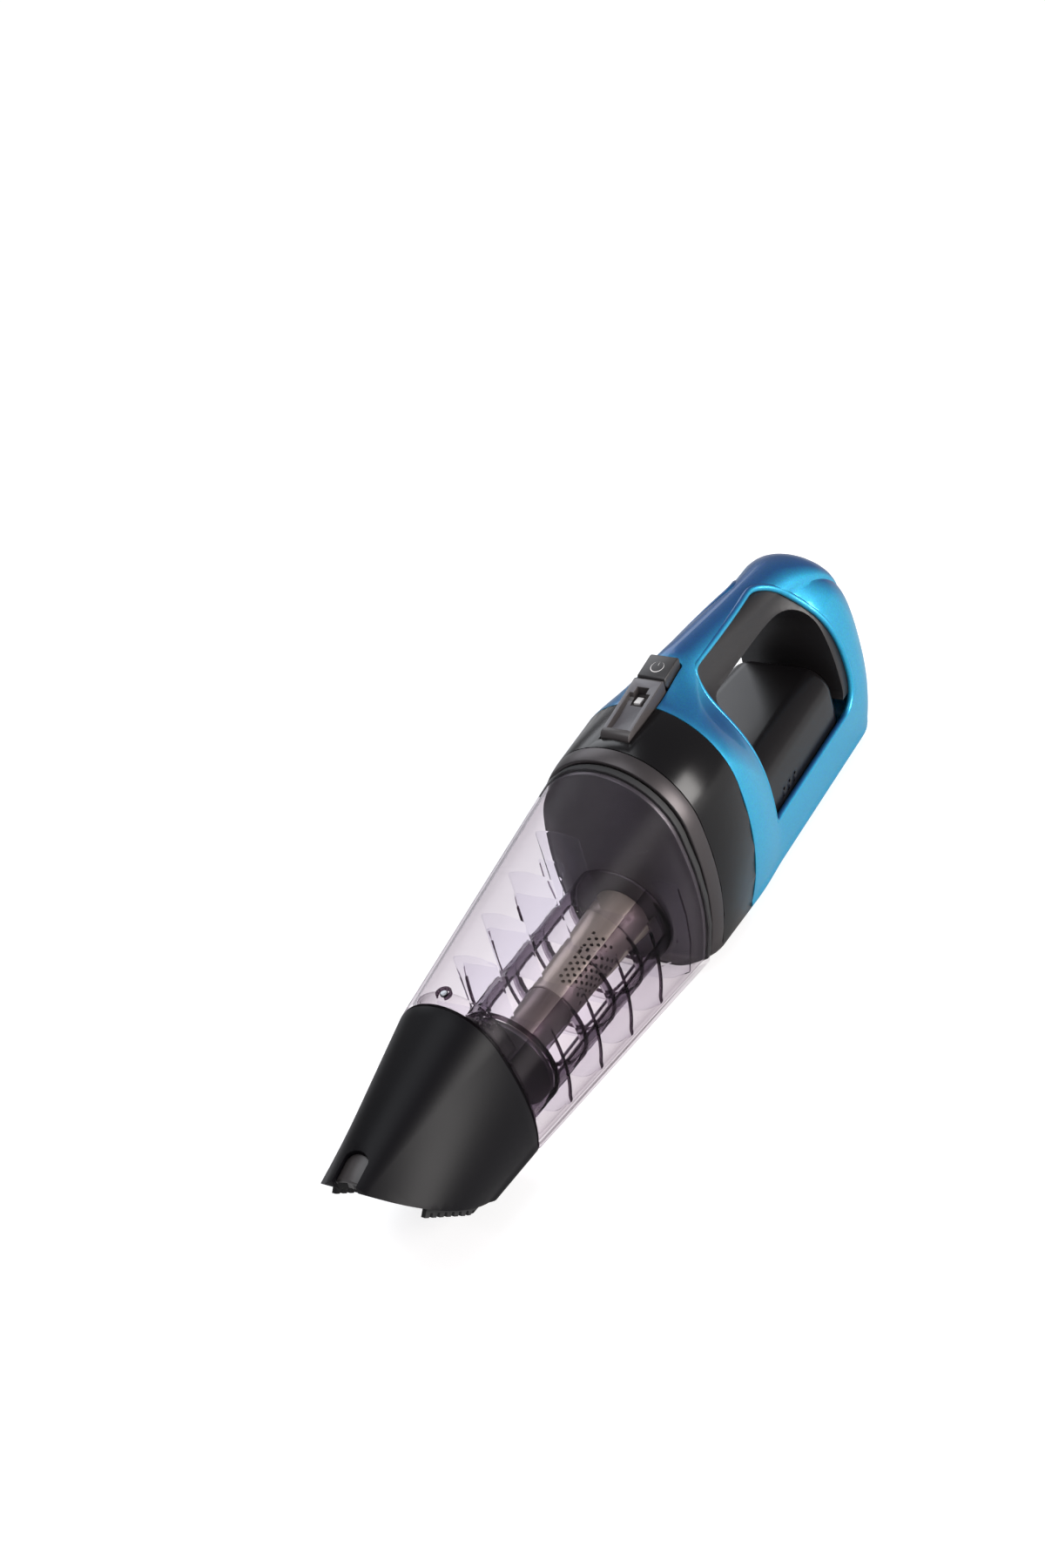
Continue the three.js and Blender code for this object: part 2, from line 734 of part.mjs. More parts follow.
// The finger tunnel between the grip and the barrel, and the slot behind the barrel.
const tunnelFront = windowFront + 6;
const tunnelBack = windowBack - 6;

function tunnelShape() {
  const z0 = windowFloor + 3;
  const shape = new THREE.Shape();
  shape.moveTo(tunnelFront, z0);
  shape.lineTo(tunnelBack - 10, z0);
  shape.quadraticCurveTo(tunnelBack, z0, tunnelBack, z0 + 14);
  shape.lineTo(tunnelBack, tunnelTop - 22);
  shape.quadraticCurveTo(tunnelBack, tunnelTop, tunnelBack - 20, tunnelTop);
  shape.lineTo(tunnelFront + 8, tunnelTop);
  shape.quadraticCurveTo(tunnelFront, tunnelTop, tunnelFront, tunnelTop - 10);
  shape.closePath();
  return shape;
}

const slotClear = 0.8;

// The well in the top of the housing and the frame that the latch and the button sit in.
function controlWell(clearance) {
  return block(latchFront - clearance, -latchWidth / 2 - clearance, 110,
    buttonBack + clearance, latchWidth / 2 + clearance, 145);
}

const socketHeight = backHeight - 7;
const socketRadius = 5;
const lipWidth = 2.2;          // step round the window's edge
const lipDepth = 1;

function handleFrame() {
  const shell = cut(handleLoft(0), handleLoft(caseWall, housingEnd - 1, bodyLength - rearWall));
  const window = sideCut(windowShape(), -60, 60);
  const lipSkin = cut(handleLoft(-1), handleLoft(lipDepth));
  const lip = sideCut(windowShape(lipWidth), -60, 60).intersect(lipSkin);
  const socket = rodX(socketRadius + gap, bodyLength - 24, bodyLength + 6, 0, socketHeight, 24);
  return cut(shell, window, lip, controlWell(slotClear), socket);
}

function half(body, side) {
  const far = 2 * bodyLength;
  const y0 = side < 0 ? -far : gap / 2;
  const y1 = side < 0 ? -gap / 2 : far;
  return body.intersect(block(-far, y0, -far, far, y1, far));
}

// Dark inner lining of the handle: the grip's underside, the rear wall and the front corner.
function gripLiner() {
  const core = handleLoft(caseWall + gap, windowFront - 6, bodyLength - rearWall - gap);
  const ring = sideCut(windowShape(5), -60, 60);
  const lining = core.intersect(ring);
  const tunnel = sideCut(tunnelShape(), -60, 60);
  const lowerFront = block(windowFront - 10, -60, 0, tunnelBack - 4, 60, barrelTop + 4);
  const lowerRail = block(windowFront - 10, -60, 0, tunnelBack + 12, 60, windowFloor + 8);
  return cut(lining, tunnel, lowerFront, lowerRail, controlWell(slotClear + 1));
}

// ---------------------------------------------------------------- barrel inside the frame

const barrelFront = housingEnd + 6;
const barrelFloor = 6;
const barrelCorner = 13;
const barrelShoulder = 44;     // height of the barrel's widest place
const barrelRound = 9;         // how far the barrel's back end is rounded off

function barrelSection(x, wall) {
  const late = clamp01((x - (barrelEnd - barrelRound)) / barrelRound);
  const shrink = wall + barrelRound * (1 - Math.sqrt(1 - late * late)) * 0.9;
  const h = handleValues(x);
  const wide = h.wide - caseWall - gap - 1 - shrink;
  const foot = h.foot - caseWall - 3 - shrink;
  const top = barrelTop - shrink;
  const floor = barrelFloor + shrink;
  const r = barrelCorner;
  const upper = [vec(wide, barrelShoulder)];
  for (let i = 0; i <= 6; i += 1) {
    const turn = i / 6 * Math.PI / 2;
    upper.push(vec(wide - r * (1 - Math.cos(turn)), top - r * (1 - Math.sin(turn))));
  }
  upper.push(vec(0, top));
  const lower = [
    vec(wide - 1, barrelShoulder - 10),
    vec(mix(wide, foot, 0.5), barrelShoulder - 24),
    vec(foot, floor + 4),
    vec(foot - 5, floor),
  ];
  return { x, outline: closed(upper, lower) };
}

function barrelLoft(x0, x1, wall) {
  const inside = [73, 110, 149, 153, 156].filter((x) => x > x0 && x < x1 - 0.5);
  return loft([x0, ...inside, x1].map((x) => barrelSection(x, wall)));
}

function barrelCover() {
  const shell = cut(barrelLoft(barrelFront, barrelEnd, 0), barrelLoft(barrelFront - 1, barrelEnd - 4, 2));
  const vents = [];
  for (const side of [-1, 1]) {
    for (let i = 0; i < 3; i += 1) {
      for (const z of [37.5, 41.5]) {
        const x = 90 + i * 6.5 + (z > 40 ? 1.6 : 0);
        vents.push(rodY(0.8, side > 0 ? 10 : -60, side > 0 ? 60 : -10, x, z, 6));
      }
    }
  }
  return cut(shell, ...vents);
}

// ---------------------------------------------------------------- front of the body

function trimBand() {
  const outer = loft([station(gap, bandSection, 1.4), station(bandLength, bandSection, 0)]);
  const inner = loft([station(0, bandSection, 3.6), station(bandLength + 1, bandSection, 3.6)]);
  return cut(outer, inner);
}

const intakeRadius = 24.5;

function motorHousing() {
  const x0 = bandLength + gap;
  const x1 = housingEnd - gap;
  const outer = loft([station(x0, bandSection), station((x0 + x1) / 2, mixAll(bandSection, housingSection, 0.6)),
    station(x1, housingSection)]);
  const spigotFront = loft([station(1, bandSection, 3.6 + gap), station(x0 + 0.5, bandSection, 3.6 + gap)]);
  const spigotBack = handleLoft(caseWall + 2 * gap, x1 - 0.5, x1 + 4);
  const body = join(outer, spigotFront, spigotBack);
  const hollowFront = loft([station(0, bandSection, 5.4), station(13, bandSection, 5.4)]);
  const hollowBack = join(
    loft([station(15.5, housingSection, 5), station(x1, housingSection, 5)]),
    handleLoft(5, x1 - 0.1, x1 + 5));
  const intake = rodX(intakeRadius, 5, 20, 0, motorAxis, 40);
  return cut(body, hollowFront, hollowBack, intake, controlWell(slotClear));
}

// ---------------------------------------------------------------- motor, fan, batteries

const motorFront = 36;
const motorLength = 48;
const motorRadius = 22;
const bearingRadius = 7;
const shaftRadius = 1.5;

function motorCan() {
  const motorEnd = motorFront + motorLength;
  const can = rodX(motorRadius, motorFront, motorEnd, 0, motorAxis, 36);
  const nose = rodX(bearingRadius, motorFront - 4, motorFront + 1, 0, motorAxis, 24);
  const rear = rodX(bearingRadius, motorEnd - 1, motorEnd + 3, 0, motorAxis, 24);
  const bore = rodX(shaftRadius + 0.1, motorFront - 6, motorFront + 16, 0, motorAxis, 20);
  return cut(join(can, nose, rear), bore);
}

function motorPlate() {
  const x0 = motorFront - 9.5;
  const x1 = x0 + 2;
  const plate = loft([station(x0, housingSection, 5 + gap), station(x1, housingSection, 5 + gap)]);
  const opening = rodX(bearingRadius + 3.5, x0 - 1, x1 + 1, 0, motorAxis, 32);
  return cut(plate, opening, block(x0 - 6, -60, bodyAxis + 12, x1 + 6, 60, 140));
}

const fanRadius = 32;
const fanBack = motorFront - 11.6;

// Fan with backswept blades on its own shaft.
function impeller() {
  const blades = [];
  const count = 9;
  const hubRadius = bearingRadius + 0.5;
  for (let i = 0; i < count; i += 1) {
    const shape = new THREE.Shape();
    shape.moveTo(6, -0.6);
    shape.quadraticCurveTo(fanRadius - 12, 1, fanRadius - 1, -8);
    shape.lineTo(fanRadius - 0.6, -6.8);
    shape.quadraticCurveTo(fanRadius - 12, 2.4, 6, 0.6);
    shape.closePath();
    const blade = new THREE.ExtrudeGeometry(shape, { depth: 6.5, bevelEnabled: false, curveSegments: 4 });
    blade.rotateZ(i / count * 2 * Math.PI);
    blade.rotateY(Math.PI / 2);
    blade.translate(fanBack - 7.4, 0, motorAxis);
    blades.push(solid(blade));
  }
  const back = rodX(fanRadius, fanBack - 1.4, fanBack, 0, motorAxis, 40);
  const hub = rodX(hubRadius, fanBack - 7.9, fanBack, 0, motorAxis, 24);
  const shaft = rodX(shaftRadius, fanBack - 0.4, motorFront + 12, 0, motorAxis, 20);
  return join(back, hub, shaft, ...blades);
}

const cellRadius = 9.1;
const cellFront = motorFront + motorLength + 7;
const cellLength = barrelEnd - barrelRound - cellFront;

function batteryCell(y, z) {
  const can = rodX(cellRadius, cellFront, cellFront + cellLength - 2, y, z, 28);
  const cap = rodX(3, cellFront + cellLength - 2.5, cellFront + cellLength - 0.8, y, z, 16);
  return join(can, cap);
}

// ---------------------------------------------------------------- controls

// Height of the top surface at x along the middle of the control row.
function controlTop(x) {
  const front = bodyAxis + bodyRound - 0.8;
  const back = gripTop - 0.2;
  return mix(front, back, (x - latchFront) / (buttonBack - latchFront));
}

function controlBlock(x0, x1, depth, crown) {
  const shape = new THREE.Shape();
  shape.moveTo(x0 + 1.5, controlTop(x0) - depth);
  shape.lineTo(x1 - 0.5, controlTop(x1) - depth);
  shape.lineTo(x1, controlTop(x1) - 1 + crown);
  shape.quadraticCurveTo(x1, controlTop(x1) + crown, x1 - 1.5, controlTop(x1) + crown);
  shape.lineTo(x0 + 4, controlTop(x0) + crown + 0.4);
  shape.quadraticCurveTo(x0, controlTop(x0) + crown, x0, controlTop(x0) - 2.5);
  shape.closePath();
  return sideCut(shape, -latchWidth / 2, latchWidth / 2, 5);
}

const buttonX = (latchBack + buttonBack) / 2;    // the button's spring and stem
const latchSpringX = latchFront + 10;

function powerButton() {
  const cap = controlBlock(latchBack + gap, buttonBack, 5, 1.2);
  const under = controlTop(buttonX);
  const stem = rodZ(2.4, under - 9.6, under - 4, buttonX, 0, 20);
  return join(cap, stem);
}

const latchPivotX = 49;
const latchPivotZ = bodyAxis + 36.5;

function binLatch() {
  const cap = controlBlock(latchFront, latchBack - gap, 7, 1.6);
  const shape = new THREE.Shape();
  shape.moveTo(latchFront + 4.5, controlTop(latchFront) + 4);
  shape.lineTo(latchFront + 4.5, controlTop(latchFront) + 0.5);
  shape.quadraticCurveTo(latchFront + 10, controlTop(latchFront) - 2.2, latchFront + 27, controlTop(latchFront + 27));
  shape.lineTo(latchFront + 30, controlTop(latchFront + 30) + 4);
  shape.closePath();
  const scoop = sideCut(shape, -latchWidth / 2 + 2.2, latchWidth / 2 - 2.2, 8);
  const bore = rodY(1.35, -20, 20, latchPivotX, latchPivotZ);
  const window = block(40, -2.6, controlTop(40) - 3, 46, 2.6, 140);
  const lug = join(block(latchPivotX - 3.2, -6, latchPivotZ, latchPivotX + 3.2, 6, controlTop(latchPivotX) - 2),
    rodY(3.2, -6, 6, latchPivotX, latchPivotZ, 24));
  return cut(join(cap, lug), scoop, bore, window);
}

function latchPin() {
  return rodY(1.25, -latchWidth / 2 - 2.2, latchWidth / 2 + 2.2, latchPivotX, latchPivotZ);
}

// Moulded bracket below the controls that carries the latch pin, the springs and the switch board.
const deckHeight = bodyAxis + 29;

function controlDeck() {
  const deck = block(18, -12.3, deckHeight - 2, 66, 12.3, deckHeight);
  const ears = [-1, 1].map((side) => {
    const y = side * (latchWidth / 2 + 1.2);
    return block(latchPivotX - 3.5, y - 1.1, deckHeight - 1, latchPivotX + 3.5, y + 1.1, latchPivotZ + 2.2);
  });
  const posts = [latchSpringX, buttonX].map((x) => rodZ(1.5, deckHeight - 1, deckHeight + 3, x, 0, 16));
  const holes = rodY(1.35, -20, 20, latchPivotX, latchPivotZ);
  return cut(join(deck, ...ears, ...posts), holes);
}

// Coil spring standing on the deck, up to a height.
function coilSpring(x, top) {
  const radius = 3.6;
  const turns = 3;
  const wire = 0.4;
  const steps = turns * 10;
  const points = [];
  for (let i = 0; i <= steps; i += 1) {
    const turn = i / steps * turns * 2 * Math.PI;
    const z = mix(deckHeight + gap + wire, top - wire, i / steps);
    points.push(new THREE.Vector3(x + radius * Math.cos(turn), radius * Math.sin(turn), z));
  }
  const section = new THREE.Shape();
  section.absarc(0, 0, wire, 0, 2 * Math.PI, false);
  const path = new THREE.CatmullRomCurve3(points);
  const geometry = new THREE.ExtrudeGeometry(section, {
    steps, extrudePath: path, bevelEnabled: false, curveSegments: 3,
  });
  return solid(geometry);
}

function switchBoard() {
  const board = block(20, -15, deckHeight - 6.6, 66, 15, deckHeight - 5);
  const relay = block(30, -6, deckHeight - 11, 42, 6, deckHeight - 6);
  return join(board, relay);
}

// ---------------------------------------------------------------- charging socket

function chargeSocket() {
  const x1 = bodyLength - 1;
  const outer = rodX(socketRadius, x1 - 14, x1, 0, socketHeight, 24);
  const bore = rodX(3.4, x1 - 11, x1 + 1, 0, socketHeight, 24);
  const contact = rodX(0.9, x1 - 13, x1 - 3, 0, socketHeight, 12);
  return join(cut(outer, bore), contact);
}

// ---------------------------------------------------------------- finishes

const finishes = {
  blue: { color: 0x1f86bd, roughness: 0.3, metalness: 0.45 },
  gloss: { color: 0x141318, roughness: 0.16, metalness: 0 },
  satin: { color: 0x0f0f12, roughness: 0.42, metalness: 0 },
  liner: { color: 0x2a2a2e, roughness: 0.5, metalness: 0 },
  band: { color: 0x8d8a8c, roughness: 0.3, metalness: 0.35 },
  clear: { color: 0xcfc8dc, roughness: 0.08, metalness: 0, transparent: true, opacity: 0.28 },
  smoky: { color: 0x8f8798, roughness: 0.12, metalness: 0, transparent: true, opacity: 0.5 },
  plate: { color: 0xd8d4e2, roughness: 0.12, metalness: 0, transparent: true, opacity: 0.35 },
  cone: { color: 0x42414a, roughness: 0.4, metalness: 0 },
  steel: { color: 0xa8a295, roughness: 0.32, metalness: 0.85 },
  can: { color: 0x9b9da1, roughness: 0.35, metalness: 0.9 },
  rubber: { color: 0x151517, roughness: 0.8, metalness: 0 },
  latch: { color: 0x4c4b50, roughness: 0.4, metalness: 0 },
  paper: { color: 0xe6e2d6, roughness: 0.9, metalness: 0 },
  board: { color: 0x1c5a3a, roughness: 0.55, metalness: 0 },
  cell: { color: 0x2f7fae, roughness: 0.4, metalness: 0 },
};

const vacuum = new THREE.Group();

function add(name, body, finish) {
  const mesh = new THREE.Mesh(geometryOf(body), new THREE.MeshStandardMaterial(finishes[finish]));
  mesh.name = name;
  vacuum.add(mesh);
}

add('nozzle_shell', nozzleShell(), 'satin');
add('nozzle_tongue', nozzleTongue(), 'liner');
add('comb_left', combStrip(-1), 'rubber');
add('comb_right', combStrip(1), 'rubber');
add('nozzle_seal', nozzleSeal(), 'rubber');

add('bin_shell', binShell(), 'clear');
add('catch_pin', catchPin(), 'satin');
add('bin_seal', binSeal(), 'rubber');
add('inlet_plate', inletPlate(), 'smoky');
add('inlet_flap', inletFlap(), 'rubber');

add('filter_cage', filterCage(), 'smoky');
add('cage_end', cageEnd(), 'cone');
levels.forEach((x, i) => add(`baffle_${i + 1}`, bafflePlate(x, i + 1 < levelCount), 'plate'));
add('filter_tube', filterTube(), 'steel');
add('filter_cone', filterCone(), 'cone');
add('pleated_filter', pleatedFilter(), 'paper');

add('trim_band', trimBand(), 'band');
add('motor_housing', motorHousing(), 'gloss');
const frame = handleFrame();
add('frame_left', half(frame, -1), 'blue');
add('frame_right', half(frame, 1), 'blue');
add('grip_liner', gripLiner(), 'liner');
add('barrel_cover', barrelCover(), 'gloss');

add('motor_plate', motorPlate(), 'liner');
add('motor_can', motorCan(), 'can');
add('impeller', impeller(), 'liner');
const cellSide = cellRadius + 0.5;
[[-cellSide, 46], [cellSide, 46], [-cellSide, 25], [cellSide, 25]].forEach(([y, z], i) => {
  add(`battery_cell_${i + 1}`, batteryCell(y, z), 'cell');
});

add('power_button', powerButton(), 'latch');
add('button_spring', coilSpring(buttonX, controlTop(buttonX) - 5.4), 'can');
add('bin_latch', binLatch(), 'latch');
add('latch_spring', coilSpring(latchSpringX, controlTop(latchSpringX) - 7.5), 'can');
add('latch_pin', latchPin(), 'can');
add('control_deck', controlDeck(), 'liner');
add('switch_board', switchBoard(), 'board');
add('charge_socket', chargeSocket(), 'liner');

// The origin goes to the middle of the overall length.
vacuum.position.x = -(nozzleTip + bodyLength) / 2;

export default vacuum;
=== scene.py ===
# %% [markdown]
# A cordless handheld vacuum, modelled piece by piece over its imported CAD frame.
# The frame holds every part at its true size. It is loaded first, and each visible piece is then
# built smoother and finer over the node that it stands for. Its overall box is kept for the end.

# %% Load the frame
import math

import bpy
from mathutils import Matrix, Vector


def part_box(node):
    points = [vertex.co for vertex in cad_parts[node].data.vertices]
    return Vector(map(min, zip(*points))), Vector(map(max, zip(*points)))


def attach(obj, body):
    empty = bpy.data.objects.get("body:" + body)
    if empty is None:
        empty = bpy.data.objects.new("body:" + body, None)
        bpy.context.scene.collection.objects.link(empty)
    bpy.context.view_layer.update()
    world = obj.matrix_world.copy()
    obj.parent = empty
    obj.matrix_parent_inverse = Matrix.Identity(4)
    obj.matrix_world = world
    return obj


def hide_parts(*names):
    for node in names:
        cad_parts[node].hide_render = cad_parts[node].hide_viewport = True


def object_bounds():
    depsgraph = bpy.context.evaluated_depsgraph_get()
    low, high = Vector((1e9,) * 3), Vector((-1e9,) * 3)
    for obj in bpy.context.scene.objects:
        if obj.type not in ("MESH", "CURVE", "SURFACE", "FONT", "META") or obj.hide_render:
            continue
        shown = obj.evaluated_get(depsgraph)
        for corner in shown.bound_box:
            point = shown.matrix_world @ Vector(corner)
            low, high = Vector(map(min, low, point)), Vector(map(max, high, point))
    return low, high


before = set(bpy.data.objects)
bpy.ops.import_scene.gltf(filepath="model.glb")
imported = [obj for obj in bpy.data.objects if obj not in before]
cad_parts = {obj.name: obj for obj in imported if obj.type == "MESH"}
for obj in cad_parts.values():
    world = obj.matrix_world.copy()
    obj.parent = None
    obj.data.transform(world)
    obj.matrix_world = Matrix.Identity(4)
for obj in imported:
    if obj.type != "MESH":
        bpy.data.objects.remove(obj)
cad_low, cad_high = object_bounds()
print("frame", tuple(round(v, 4) for v in cad_low), tuple(round(v, 4) for v in cad_high))

# %% [markdown]
# Lengths on this product are easiest to think of in millimetres, counted from the flange where the
# dust bin meets the body. One helper turns such a place into metres in the frame, and the flange
# itself is found from the seal that lies against it.

# %% Places in millimetres
MM = 0.001
SEAL_GAP = 0.3
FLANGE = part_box("bin_seal")[1].x + SEAL_GAP * MM


def place(x, y, z):
    return Vector((FLANGE + x * MM, y * MM, z * MM))


def behind_flange(x):
    """A place along the frame's length, in metres, as millimetres behind the flange."""
    return round((x - FLANGE) / MM, 2)


NOZZLE_TIP = behind_flange(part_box("nozzle_shell")[0].x)
BODY_END = behind_flange(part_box("frame_left")[1].x)
print("nozzle tip", NOZZLE_TIP, "back of the handle", BODY_END)

# %% [markdown]
# Operators act on whatever is selected, and the loaded frame arrives selected. These helpers keep
# each step to one object: they clear the selection, pick one object, and go into edit mode and back.


# %% Selection helpers
def deselect():
    if bpy.context.mode != "OBJECT":
        bpy.ops.object.mode_set(mode="OBJECT")
    bpy.ops.object.select_all(action="DESELECT")


def pick(obj):
    deselect()
    obj.select_set(True)
    bpy.context.view_layer.objects.active = obj
    return obj


def edit(obj, action="SELECT"):
    pick(obj)
    bpy.ops.object.mode_set(mode="EDIT")
    bpy.ops.mesh.select_all(action=action)


def leave():
    bpy.ops.object.mode_set(mode="OBJECT")


print("selection helpers ready")

# %% [markdown]
# Modifiers could stay live, but each one is applied at once, so that the next step works on the real
# mesh. A cutter is thrown away once it has cut, and a bevel with a shading angle softens edges as a
# mould does. What repeats is copied, each copy with its own mesh, and joined before it cuts.


# %% Modifier and copy helpers
def modify(obj, kind, **values):
    pick(obj)
    made = obj.modifiers.new(kind.lower(), kind)
    for key, value in values.items():
        setattr(made, key, value)
    bpy.ops.object.modifier_apply(modifier=made.name)
    return obj


def cut(obj, *tools, operation="DIFFERENCE"):
    for tool in tools:
        modify(obj, "BOOLEAN", operation=operation, solver="EXACT", object=tool)
        bpy.data.objects.remove(tool)
    return obj


def soften(obj, width=0.4, segments=2, angle=38, smooth=32):
    """Rounds the sharp edges a little and shades the rest smooth."""
    if width:
        modify(obj, "BEVEL", width=width * MM, segments=segments, limit_method="ANGLE",
               angle_limit=math.radians(angle), use_clamp_overlap=True, miter_outer="MITER_ARC")
    pick(obj)
    bpy.ops.object.shade_smooth_by_angle(angle=math.radians(smooth))
    return obj


def copy_of(obj, name):
    twin = obj.copy()
    twin.data = obj.data.copy()
    twin.name = name
    bpy.context.collection.objects.link(twin)
    return twin


def merged(objects, name):
    deselect()
    for obj in objects:
        obj.select_set(True)
    bpy.context.view_layer.objects.active = objects[0]
    bpy.ops.object.join()
    objects[0].name = name
    return objects[0]


print("modifier and copy helpers ready")

# %% [markdown]
# Every outer piece of this product is a lofted shell: a section that changes along the length.
# It could be extruded station by station, but a grid primitive makes it in one step. Its columns
# become the stations and its rows the points round the section, the seam is merged, and the open
# ends are filled.


# %% Loft helper
def loft(name, stations):
    """A closed shell through (x, outline) stations, all outlines with equally many points."""
    points = len(stations[0][1])
    last = len(stations) - 1
    deselect()
    bpy.ops.mesh.primitive_grid_add(x_subdivisions=last, y_subdivisions=points, size=2)
    obj = bpy.context.active_object
    obj.name = name
    for vertex in obj.data.vertices:
        i = round((vertex.co.x + 1) / 2 * last)
        j = round((vertex.co.y + 1) / 2 * points) % points
        x, outline = stations[i]
        vertex.co = place(x, *outline[j])
    edit(obj)
    bpy.ops.mesh.remove_doubles(threshold=1e-6)
    bpy.ops.mesh.fill_holes(sides=0)
    bpy.ops.mesh.normals_make_consistent(inside=False)
    leave()
    return obj


print("loft helper ready")

# %% [markdown]
# Cutters and flat-sided pieces are outlines pushed through along one axis. A circle primitive gives
# the face, its corners are moved to the outline, and one extrude makes the body. A stretched cube
# could only give the plain blocks, which are prisms with four corners here.


# %% Prism helpers
def prism(name, outline, low, high, axis="Y"):
    """An outline pushed through along one axis: (x, z) along Y, (y, z) along X, (x, y) along Z."""
    deselect()
    bpy.ops.mesh.primitive_circle_add(vertices=len(outline), fill_type="NGON")
    obj = bpy.context.active_object
    obj.name = name
    for vertex, (a, b) in zip(obj.data.vertices, outline):
        spot = {"Y": (a, low, b), "X": (low, a, b), "Z": (a, b, low)}[axis]
        vertex.co = place(*spot)
    edit(obj)
    push = {"Y": (0, 1, 0), "X": (1, 0, 0), "Z": (0, 0, 1)}[axis]
    move = Vector(push) * (high - low) * MM
    bpy.ops.mesh.extrude_region_move(TRANSFORM_OT_translate={"value": move})
    bpy.ops.mesh.select_all(action="SELECT")
    bpy.ops.mesh.normals_make_consistent(inside=False)
    leave()
    return obj


def block(name, x0, y0, z0, x1, y1, z1):
    return prism(name, [(x0, z0), (x1, z0), (x1, z1), (x0, z1)], y0, y1)


FAR = 60
print("prism helpers ready, cutters reach", FAR, "mm to each side")

# %% [markdown]
# Round bars are cone primitives, so that the same call makes tapered ones, turned to point from one
# end to the other. Round corners in an outline are short curves that start and end at the corner's
# radius.


# %% Round bars and round corners
def rod(name, radius, start, end, sides=48, end_radius=None):
    """A round bar between two places given in millimetres."""
    a, b = place(*start), place(*end)
    deselect()
    bpy.ops.mesh.primitive_cone_add(vertices=sides, radius1=radius * MM,
                                    radius2=(radius if end_radius is None else end_radius) * MM,
                                    depth=(b - a).length, end_fill_type="NGON")
    obj = bpy.context.active_object
    obj.name = name
    turn = (b - a).to_track_quat("Z", "Y").to_matrix().to_4x4()
    obj.data.transform(Matrix.Translation((a + b) / 2) @ turn)
    return obj


def rounded(points, steps=6):
    """An outline with round corners from (a, b, radius) corner points."""
    result = []
    count = len(points)
    for i, (x, z, radius) in enumerate(points):
        here = Vector((x, z))
        before = Vector(points[i - 1][:2]) - here
        after = Vector(points[(i + 1) % count][:2]) - here
        if radius <= 0:
            result.append((x, z))
            continue
        start = here + before.normalized() * radius
        end = here + after.normalized() * radius
        for k in range(steps + 1):
            t = k / steps
            spot = start * (1 - t) ** 2 + here * 2 * t * (1 - t) + end * t ** 2
            result.append((spot.x, spot.y))
    return result


print("round helpers ready")

# %% [markdown]
# A few small formulas serve all the shapes: a straight mix of two values, a soft step, a curve that
# is pulled by points between its ends, and an even spread of stations along the length. Blender's
# own curves could do some of this, but plain numbers go straight into a loft.


# %% Mixes, steps and curves
def mix(a, b, t):
    return a + (b - a) * t


def clamp(t):
    return min(1.0, max(0.0, t))


def smoothstep(t):
    t = clamp(t)
    return t * t * (3 - 2 * t)


def bezier(points, steps):
    """Points along a curve that the inner points pull towards themselves, both ends included."""
    made = []
    for k in range(steps + 1):
        row = [Vector(p) for p in points]
        while len(row) > 1:
            row = [row[i].lerp(row[i + 1], k / steps) for i in range(len(row) - 1)]
        made.append(tuple(row[0]))
    return made


def spread(x0, x1, pitch=8):
    steps = max(1, math.ceil((x1 - x0) / pitch))
    return [mix(x0, x1, k / steps) for k in range(steps + 1)]


print("curve of two steps", bezier([(0, 0), (1, 0), (1, 1)], 2))

# %% [markdown]
# The body's section is an arch: a round top of radius r about a centre height, sides that lean in
# from the widest place to the foot, soft lower corners and a shallow belly down to the floor. The
# same family of sections runs from the nozzle's tip through the bin and the housing, which is why
# five sets of six sizes are enough for all of them. Round stretches are computed, so a finer mesh
# only needs more steps.

# %% The section of the body
ARC, SIDE, CORNER, BELLY = 36, 14, 8, 6
FLAT_HALF = 14
CORNER_RADIUS = 5

NOSE = dict(r=17, centre=57.5, wide=33, foot=27, corner=18, floor=10)
RIM = dict(r=29.5, centre=70.5, wide=35, foot=32.3, corner=19, floor=10)
FLANGE_SECTION = dict(r=41.5, centre=80, wide=43.8, foot=36.5, corner=7.5, floor=0.8)
BAND_SECTION = dict(r=43.2, centre=80, wide=44.3, foot=36, corner=6, floor=0)
HOUSING_SECTION = dict(r=45, centre=80, wide=44.5, foot=34, corner=3.8, floor=0)


def inset(s, wall):
    return dict(s, r=s["r"] - wall, wide=s["wide"] - wall, foot=s["foot"] - wall,
                corner=s["corner"] + wall, floor=s["floor"] + wall)


def lower_half(start, pull, s):
    side_end = (s["foot"], s["corner"] + CORNER_RADIUS)
    side = bezier([start, pull, side_end], SIDE)
    corner_end = (s["foot"] - CORNER_RADIUS, s["corner"] - 1)
    corner = bezier([side_end, (s["foot"], s["corner"]), corner_end], CORNER)
    flat = min(FLAT_HALF, corner_end[0] * 0.8)
    belly = bezier([corner_end, ((corner_end[0] + flat) / 2, s["floor"]), (flat, s["floor"])], BELLY)
    return side[1:] + corner[1:] + belly[1:]


def whole(upper, lower):
    """The full outline from its right half."""
    mirror = [(-y, z) for y, z in reversed(upper[:-1])]
    return upper + mirror + [(-y, z) for y, z in lower] + lower[::-1]


def body_outline(s):
    pull = (2 * s["wide"] - (s["r"] + s["foot"]) / 2, (s["centre"] + s["corner"] + CORNER_RADIUS) / 2)
    rise = pull[1] - s["centre"]
    first = math.atan2(rise, pull[0]) + math.acos(min(1, s["r"] / math.hypot(pull[0], rise)))
    upper = []
    for k in range(ARC + 1):
        turn = mix(first, math.pi / 2, k / ARC)
        upper.append((s["r"] * math.cos(turn), s["centre"] + s["r"] * math.sin(turn)))
    return whole(upper, lower_half(upper[0], pull, s))


print("points round a section", len(body_outline(RIM)))

